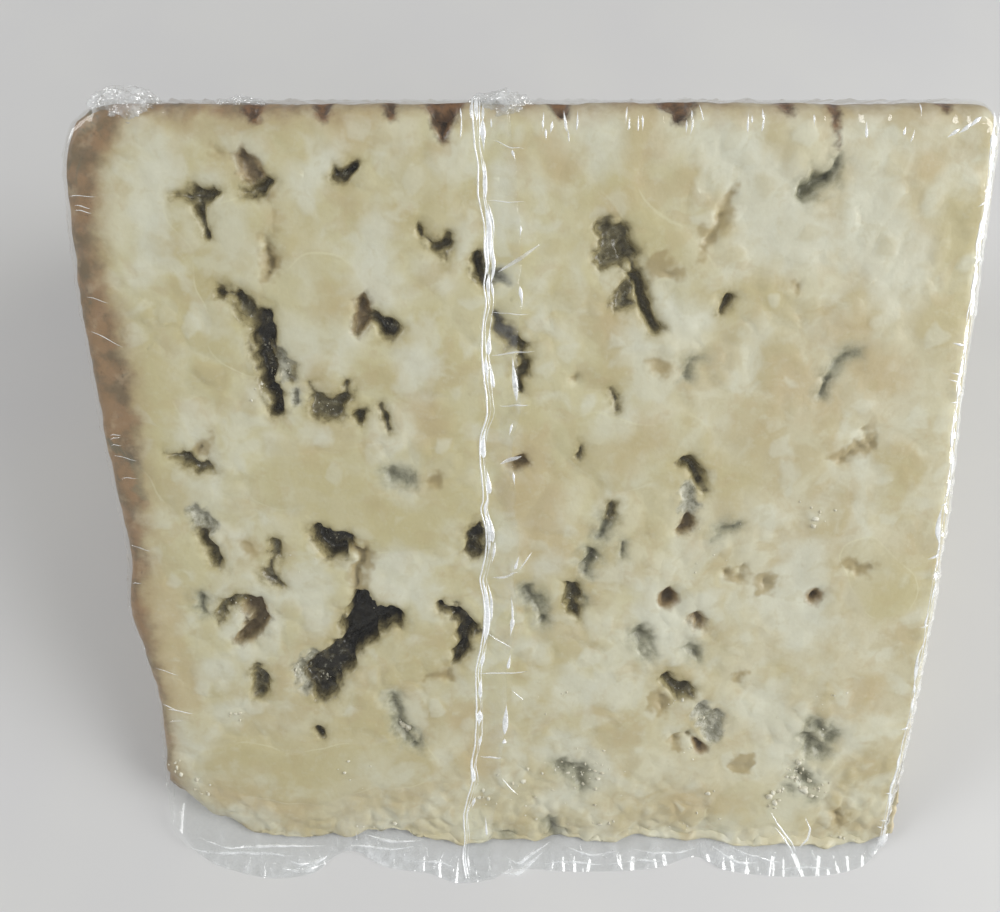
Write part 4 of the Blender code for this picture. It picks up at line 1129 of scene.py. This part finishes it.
# Long folds of slack film over the hem and the tip, as chains of (x, distance in from the hem, half width)
HEM_FOLDS = [
    [(-46.4, 0.9, 0.10), (-43.0, 1.6, 0.22), (-39.0, 2.6, 0.20), (-35.5, 3.0, 0.26), (-31.0, 2.6, 0.10)],
    [(-45.0, 3.6, 0.08), (-41.0, 3.0, 0.16), (-37.0, 4.1, 0.22), (-32.0, 4.4, 0.24), (-27.5, 3.4, 0.10)],
    [(-33.6, 1.3, 0.14), (-31.6, 0.9, 0.34), (-29.6, 0.8, 0.42), (-27.6, 1.0, 0.12)],
    [(-32.4, 2.1, 0.12), (-30.6, 1.6, 0.30), (-28.6, 1.5, 0.34), (-26.9, 1.9, 0.10)],
    [(-25.6, 1.5, 0.08), (-22.4, 0.9, 0.20), (-19.0, 1.8, 0.16), (-14.5, 3.4, 0.10)],
    [(-22.5, 2.6, 0.08), (-18.5, 3.4, 0.20), (-14.0, 4.4, 0.10)],
    [(-17.0, 0.8, 0.08), (-13.0, 1.2, 0.16), (-9.6, 0.9, 0.08)],
    [(-3.9, 1.3, 0.10), (-2.0, 0.8, 0.24), (0.4, 1.0, 0.28), (2.6, 2.4, 0.10)],
    [(-3.0, 3.0, 0.08), (-0.8, 1.9, 0.20), (1.6, 2.6, 0.22), (3.4, 4.2, 0.08)],
    [(2.4, 0.7, 0.08), (6.0, 1.1, 0.20), (10.4, 0.9, 0.10)], [(5.0, 3.2, 0.06), (8.4, 2.2, 0.16), (13.0, 2.6, 0.08)],
    [(11.0, 0.8, 0.08), (15.0, 1.3, 0.18), (19.6, 0.8, 0.08)], [(14.4, 2.7, 0.06), (18.6, 2.0, 0.18), (23.4, 1.6, 0.08)],
    [(25.4, 1.4, 0.08), (28.2, 1.0, 0.22), (31.6, 1.3, 0.10)], [(27.6, 2.9, 0.06), (31.0, 2.1, 0.16), (35.0, 1.6, 0.08)],
    [(34.0, 0.8, 0.08), (37.6, 1.1, 0.16), (41.6, 0.9, 0.08)],
]


def fold_mesh():
    """Folds of film, slack over the hem, near the tip's corner, and gathered at the right and rind edges. Their white
    is partly the film's own haze and partly painted highlight for the glints along them.
    """
    pick = np.random.default_rng(70)
    parts = []
    for chain in CORNER_CREASES:
        places = np.array(chain)
        t = np.linspace(0, len(chain) - 1, 24)
        x, s = (np.interp(t, np.arange(len(chain)), places[:, k]) for k in (0, 1))
        parts.append(spindle(x + 0.06 * line_noise(s, 1.1, 71), s, 0.13, 0.35, 0.7))
    # The hem folds' white is partly the film's haze and partly painted highlight
    for chain in HEM_FOLDS:
        keys = np.array(chain)
        x = np.arange(keys[0, 0], keys[-1, 0], 0.2)
        away, half = (through(keys[:, (0, k)], x) for k in (1, 2))
        p = through(HEM_LINE, x) + away + 0.14 * line_noise(x, 1.7, 72) + 0.06 * line_noise(x, 0.6, 73)
        thick = half * (1 + 0.4 * line_noise(x, 1.1, 74))
        milk = np.clip(0.60 + 0.50 * line_noise(x + 31 * keys[0, 1], 1.6, 75), 0.08, 1.0)
        rows, *_ = spindle(x, p, thick, 0.20 + 1.2 * thick, 0)
        parts.append((rows, milk[:, None], 0.0))
    place = -46.0
    while place < 47:
        place += pick.choice((0.5, 0.8, 2.2, 4.5)) * pick.uniform(0.6, 1.4)
        t = np.linspace(0, 1, 12)
        start, long = float(through(HEM_LINE, place)) + pick.uniform(0.2, 1.8), pick.uniform(0.6, 2.8)
        lean, bow = pick.normal(0, 0.45), pick.normal(0, 0.5)
        x = place + lean * long * t * 0.6 + bow * np.sin(math.pi * t) * 0.5
        half, milk, skew = pick.uniform(0.04, 0.11), pick.uniform(0.04, 0.26), pick.choice((0.6, 1.7))
        parts.append(spindle(x, start + long * t, half, 0.16, milk, skew))
    # Painted highlight over the film's own haze: white dashes, strands and lines along the right edge, for the glare
    # along it
    for s in np.sort(pick.uniform(1, 93, 12)):
        t = np.linspace(0, 1, 9)
        start, long = pick.uniform(0.8, 1.4), pick.uniform(0.5, 1.4)
        x = through(RIGHT_SIDE, s) - start - long * t
        along = s + pick.normal(0, 0.25) * long * t
        parts.append(spindle(x, along, pick.uniform(0.08, 0.20), 0.07, pick.uniform(0.6, 1.0), 0.6))
    place = 1.0
    while place < 94:
        long = pick.uniform(1.6, 6.0)
        s = np.linspace(place, min(place + long, 95.5), 10 + int(5 * long))
        inward = 1.25 + 0.70 * line_noise(s, 3.8, 77) + 0.15 * line_noise(s, 1.5, 78)
        x = through(RIGHT_SIDE, s) - np.maximum(inward, 0.5)
        thick = pick.uniform(0.08, 0.34) * (1 + 0.3 * line_noise(s, 2.0, 79))
        skew = pick.choice((0.5, 0.7, 1.4, 2.0))
        parts.append(spindle(x, s, thick, 0.08, pick.uniform(0.75, 1.0), skew))
        place += long * pick.uniform(0.45, 1.0)
    s = np.arange(0.5, 95.5, 0.25)
    for inward, seed in ((0.72, 91), (1.30, 92)):
        x = through(RIGHT_SIDE, s) - inward - 0.30 * line_noise(s, 4.6, seed) - 0.10 * line_noise(s, 1.6, seed + 3)
        thin = 0.045 + 0.050 * np.maximum(line_noise(s, 2.8, seed + 6), -0.75)
        parts.append((strand(x, s, thin, 0.05 + thin), 0.9, 0.0))
    for x, s in ((43.2, 93.3), (44.3, 93.7), (45.3, 94.3)):
        t = np.linspace(-0.8, 0.8, 10)
        parts.append(spindle(x + 0.8 * t, s + 0.6 * t, 0.22, 0.09, 0.9, 1.4))
    for s in np.sort(pick.uniform(12, 90, 16)):
        t = np.linspace(0, 1, 12)
        start, long = pick.uniform(0.8, 1.8), pick.uniform(1.0, 3.4)
        x = through(LEFT_SIDE, s) + start + long * t
        along = s + pick.normal(0, 0.25) * long * t + 0.10 * np.sin(5 * t)
        parts.append(spindle(x, along, pick.uniform(0.04, 0.09), 0.08, pick.uniform(0.30, 0.65)))
    # Painted highlight: short white strokes at the rind's upper edge, for the glints on its pleats
    for middle, reach, count in ((-6.3, 1.8, 6), (2.6, 2.2, 7), (10.4, 1.5, 4), (16.5, 1.6, 4), (22.0, 1.6, 4), (34.0, 6.0, 5)):
        for x in middle + reach * pick.uniform(-1, 1, count):
            start, long = pick.uniform(92.4, 94.6), pick.uniform(0.8, 2.2)
            along = start + long * np.linspace(0, 1, 12)
            drift = pick.normal(0, 0.12) * (along - start) + 0.05 * line_noise(along + x, 0.9, 76)
            half, milk, skew = pick.uniform(0.07, 0.17), pick.uniform(0.65, 1.0), pick.choice((0.6, 1.6))
            parts.append(spindle(x + drift, along, half, 0.06, milk, skew))
    return tubes(parts)


def crumple(centre, tilt, size, seed, dents):
    """A crushed ball of film: its middle, the direction it stands out in, its half sizes and how deep it is dented."""
    bm = bmesh.new()
    bmesh.ops.create_icosphere(bm, subdivisions=6, radius=1)
    mesh = bpy.data.meshes.new("crumple")
    bm.to_mesh(mesh)
    bm.free()
    points, _ = read(mesh)
    ridge = np.abs(noise(points, 0.75, seed)) + 0.6 * np.abs(noise(points, 0.36, seed + 1))
    ridge += 0.4 * np.abs(noise(points, 0.17, seed + 2))
    points = points * (1 - dents * ridge)[:, None]
    points = points * size
    sin, cos = math.sin(tilt), math.cos(tilt)
    out, back = points[:, 2].copy(), points[:, 1].copy()
    points[:, 1], points[:, 2] = out * cos - back * sin, out * sin + back * cos
    write(mesh, points + centre)
    attribute(mesh, "fold", [np.clip(0.45 - 0.9 * dents * ridge, 0.05, 0.6)])
    return mesh


# Bunched film over the rind's upper edge: x, angle of the place, half sizes (along x, along the rind, outwards)
BUNCHES = [
    ("bunch_left", -43.0, 38.6, (4.3, 2.3, 2.7), 81, 0.34, 95.6),
    ("bunch_small", -31.0, 38.2, (3.2, 1.6, 1.6), 84, 0.38, 95.6),
    ("bunch_seam", -3.7, 38.4, (3.9, 2.2, 2.5), 87, 0.24, 95.4),
]


def grains_mesh(cheese, table, seed):
    """Small uneven grains seated on the cheese, where a ray square to the upper cut face meets it."""
    pick = np.random.default_rng(seed)
    tree = BVHTree.FromPolygons([v.co for v in cheese.vertices], [p.vertices for p in cheese.polygons])
    ball = bmesh.new()
    bmesh.ops.create_icosphere(ball, subdivisions=2, radius=1)
    shape = np.array([v.co for v in ball.verts])
    sides = np.array([[v.index for v in f.verts] for f in ball.faces])
    ball.free()
    points, faces = [], []
    for x, s, spread, count, small, large in table:
        for _ in range(count):
            at_x, at_s = pick.normal(x, spread * 0.55), pick.normal(s, spread * 0.55)
            radius = small + (large - small) * pick.random() ** 2.2
            start = np.array((at_x, 0, 0)) + at_s * UP_FACE + 6 * OFF_FACE
            hit, normal, _, _ = tree.ray_cast(Vector(start), Vector(-OFF_FACE), 20)
            stretch = pick.uniform(0.6, 1.5, 3)
            lumps = pick.uniform(0.70, 1.15, (len(shape), 1))
            if hit is None:
                continue
            faces.append(sides + len(shape) * len(points))
            points.append(np.array(hit) - np.array(normal) * radius * 0.15 + shape * lumps * stretch * radius)
    mesh = bpy.data.meshes.new("grains")
    mesh.from_pydata(np.concatenate(points), [], np.concatenate(faces).tolist())
    return mesh


# ---------------------------------------------------------------- the stage

def add_floor():
    size = 2.0
    mesh = bpy.data.meshes.new("floor")
    mesh.from_pydata([(-size, -size, 0), (size, -size, 0), (size, size, 0), (-size, size, 0)], [], [(0, 1, 2, 3)])
    m = Nodes("floor_paint")
    grain = m.step(m.noise(30, 2), 0.3, 0.7)
    colour = m.mix(grain, (0.60, 0.60, 0.60), (0.62, 0.62, 0.61))
    m.put(m.output.inputs["Surface"], m.add("BsdfPrincipled", inputs={"Base Color": colour, "Roughness": 0.6}))
    mesh.materials.append(m.material)
    floor = bpy.data.objects.new("floor", mesh)
    bpy.context.scene.collection.objects.link(floor)


def add_light(name, place, size, watts, colour=(1, 1, 1)):
    """A rectangular light that shines at the wedge."""
    light = bpy.data.lights.new(name, "AREA")
    light.shape = "RECTANGLE"
    light.size, light.size_y = size
    light.energy = watts
    light.color = colour
    obj = bpy.data.objects.new(name, light)
    obj.location = place
    aim = Vector((0, 0, 0.03)) - obj.location
    obj.rotation_euler = aim.to_track_quat("-Z", "Y").to_euler()
    bpy.context.scene.collection.objects.link(obj)


def add_camera():
    """Above the wedge's thin end, tilted forward, near enough for the raised rind to look wider than the tip."""
    camera = bpy.data.cameras.new("camera")
    camera.lens = 34.38
    camera.sensor_width = 36
    camera.clip_start = 0.01
    obj = bpy.data.objects.new("camera", camera)
    obj.location = (np.array((-3.7, 6.65, 141.7)) + CENTRE_LINE) * MM
    obj.rotation_euler = (math.radians(19.75), 0, 0)
    bpy.context.scene.collection.objects.link(obj)
    bpy.context.scene.camera = obj


started = time.time()


def report(what, piece):
    print(what, round(time.time() - started, 1), "s", len(piece.polygons), "faces")


add_camera()
cheese = cheese_mesh()
report("cheese", cheese)
grains = grains_mesh(cheese, GRAINS, 91)
report("grains", grains)
add_piece("cheese", cheese, cheese_material())
add_piece("grains", grains, grain_material())
clear = film_material()
film = film_mesh()
report("film", film)
add_piece("film", film, clear)
seam = seam_mesh()
report("seam", seam)
seam_piece = add_piece("film_seam", seam, clear)
seam_piece.visible_shadow = False
creases = fold_mesh()
report("folds", creases)
fold_piece = add_piece("film_folds", creases, clear)
fold_piece.visible_shadow = False
for name, x, angle, size, seed, dents, radius in BUNCHES:
    tilt = math.radians(angle)
    centre = np.array((x, radius * math.cos(tilt), radius * math.sin(tilt)))
    add_piece("film_" + name, crumple(centre, tilt, size, seed, dents), clear)
add_floor()
add_light("key", (0.44, -0.06, 0.44), (0.30, 0.24), 1.75)
add_light("fill", (-0.50, 0.10, 0.36), (0.30, 0.24), 1.5)
add_light("low", (0.48, -0.16, 0.15), (0.24, 0.14), 1.2)
world = bpy.data.worlds.new("world")
world.use_nodes = True
world.node_tree.nodes["Background"].inputs["Color"].default_value = (1.0, 1.0, 1.0, 1)
world.node_tree.nodes["Background"].inputs["Strength"].default_value = 0.38
bpy.context.scene.world = world
bpy.context.scene.view_settings.view_transform = "Standard"
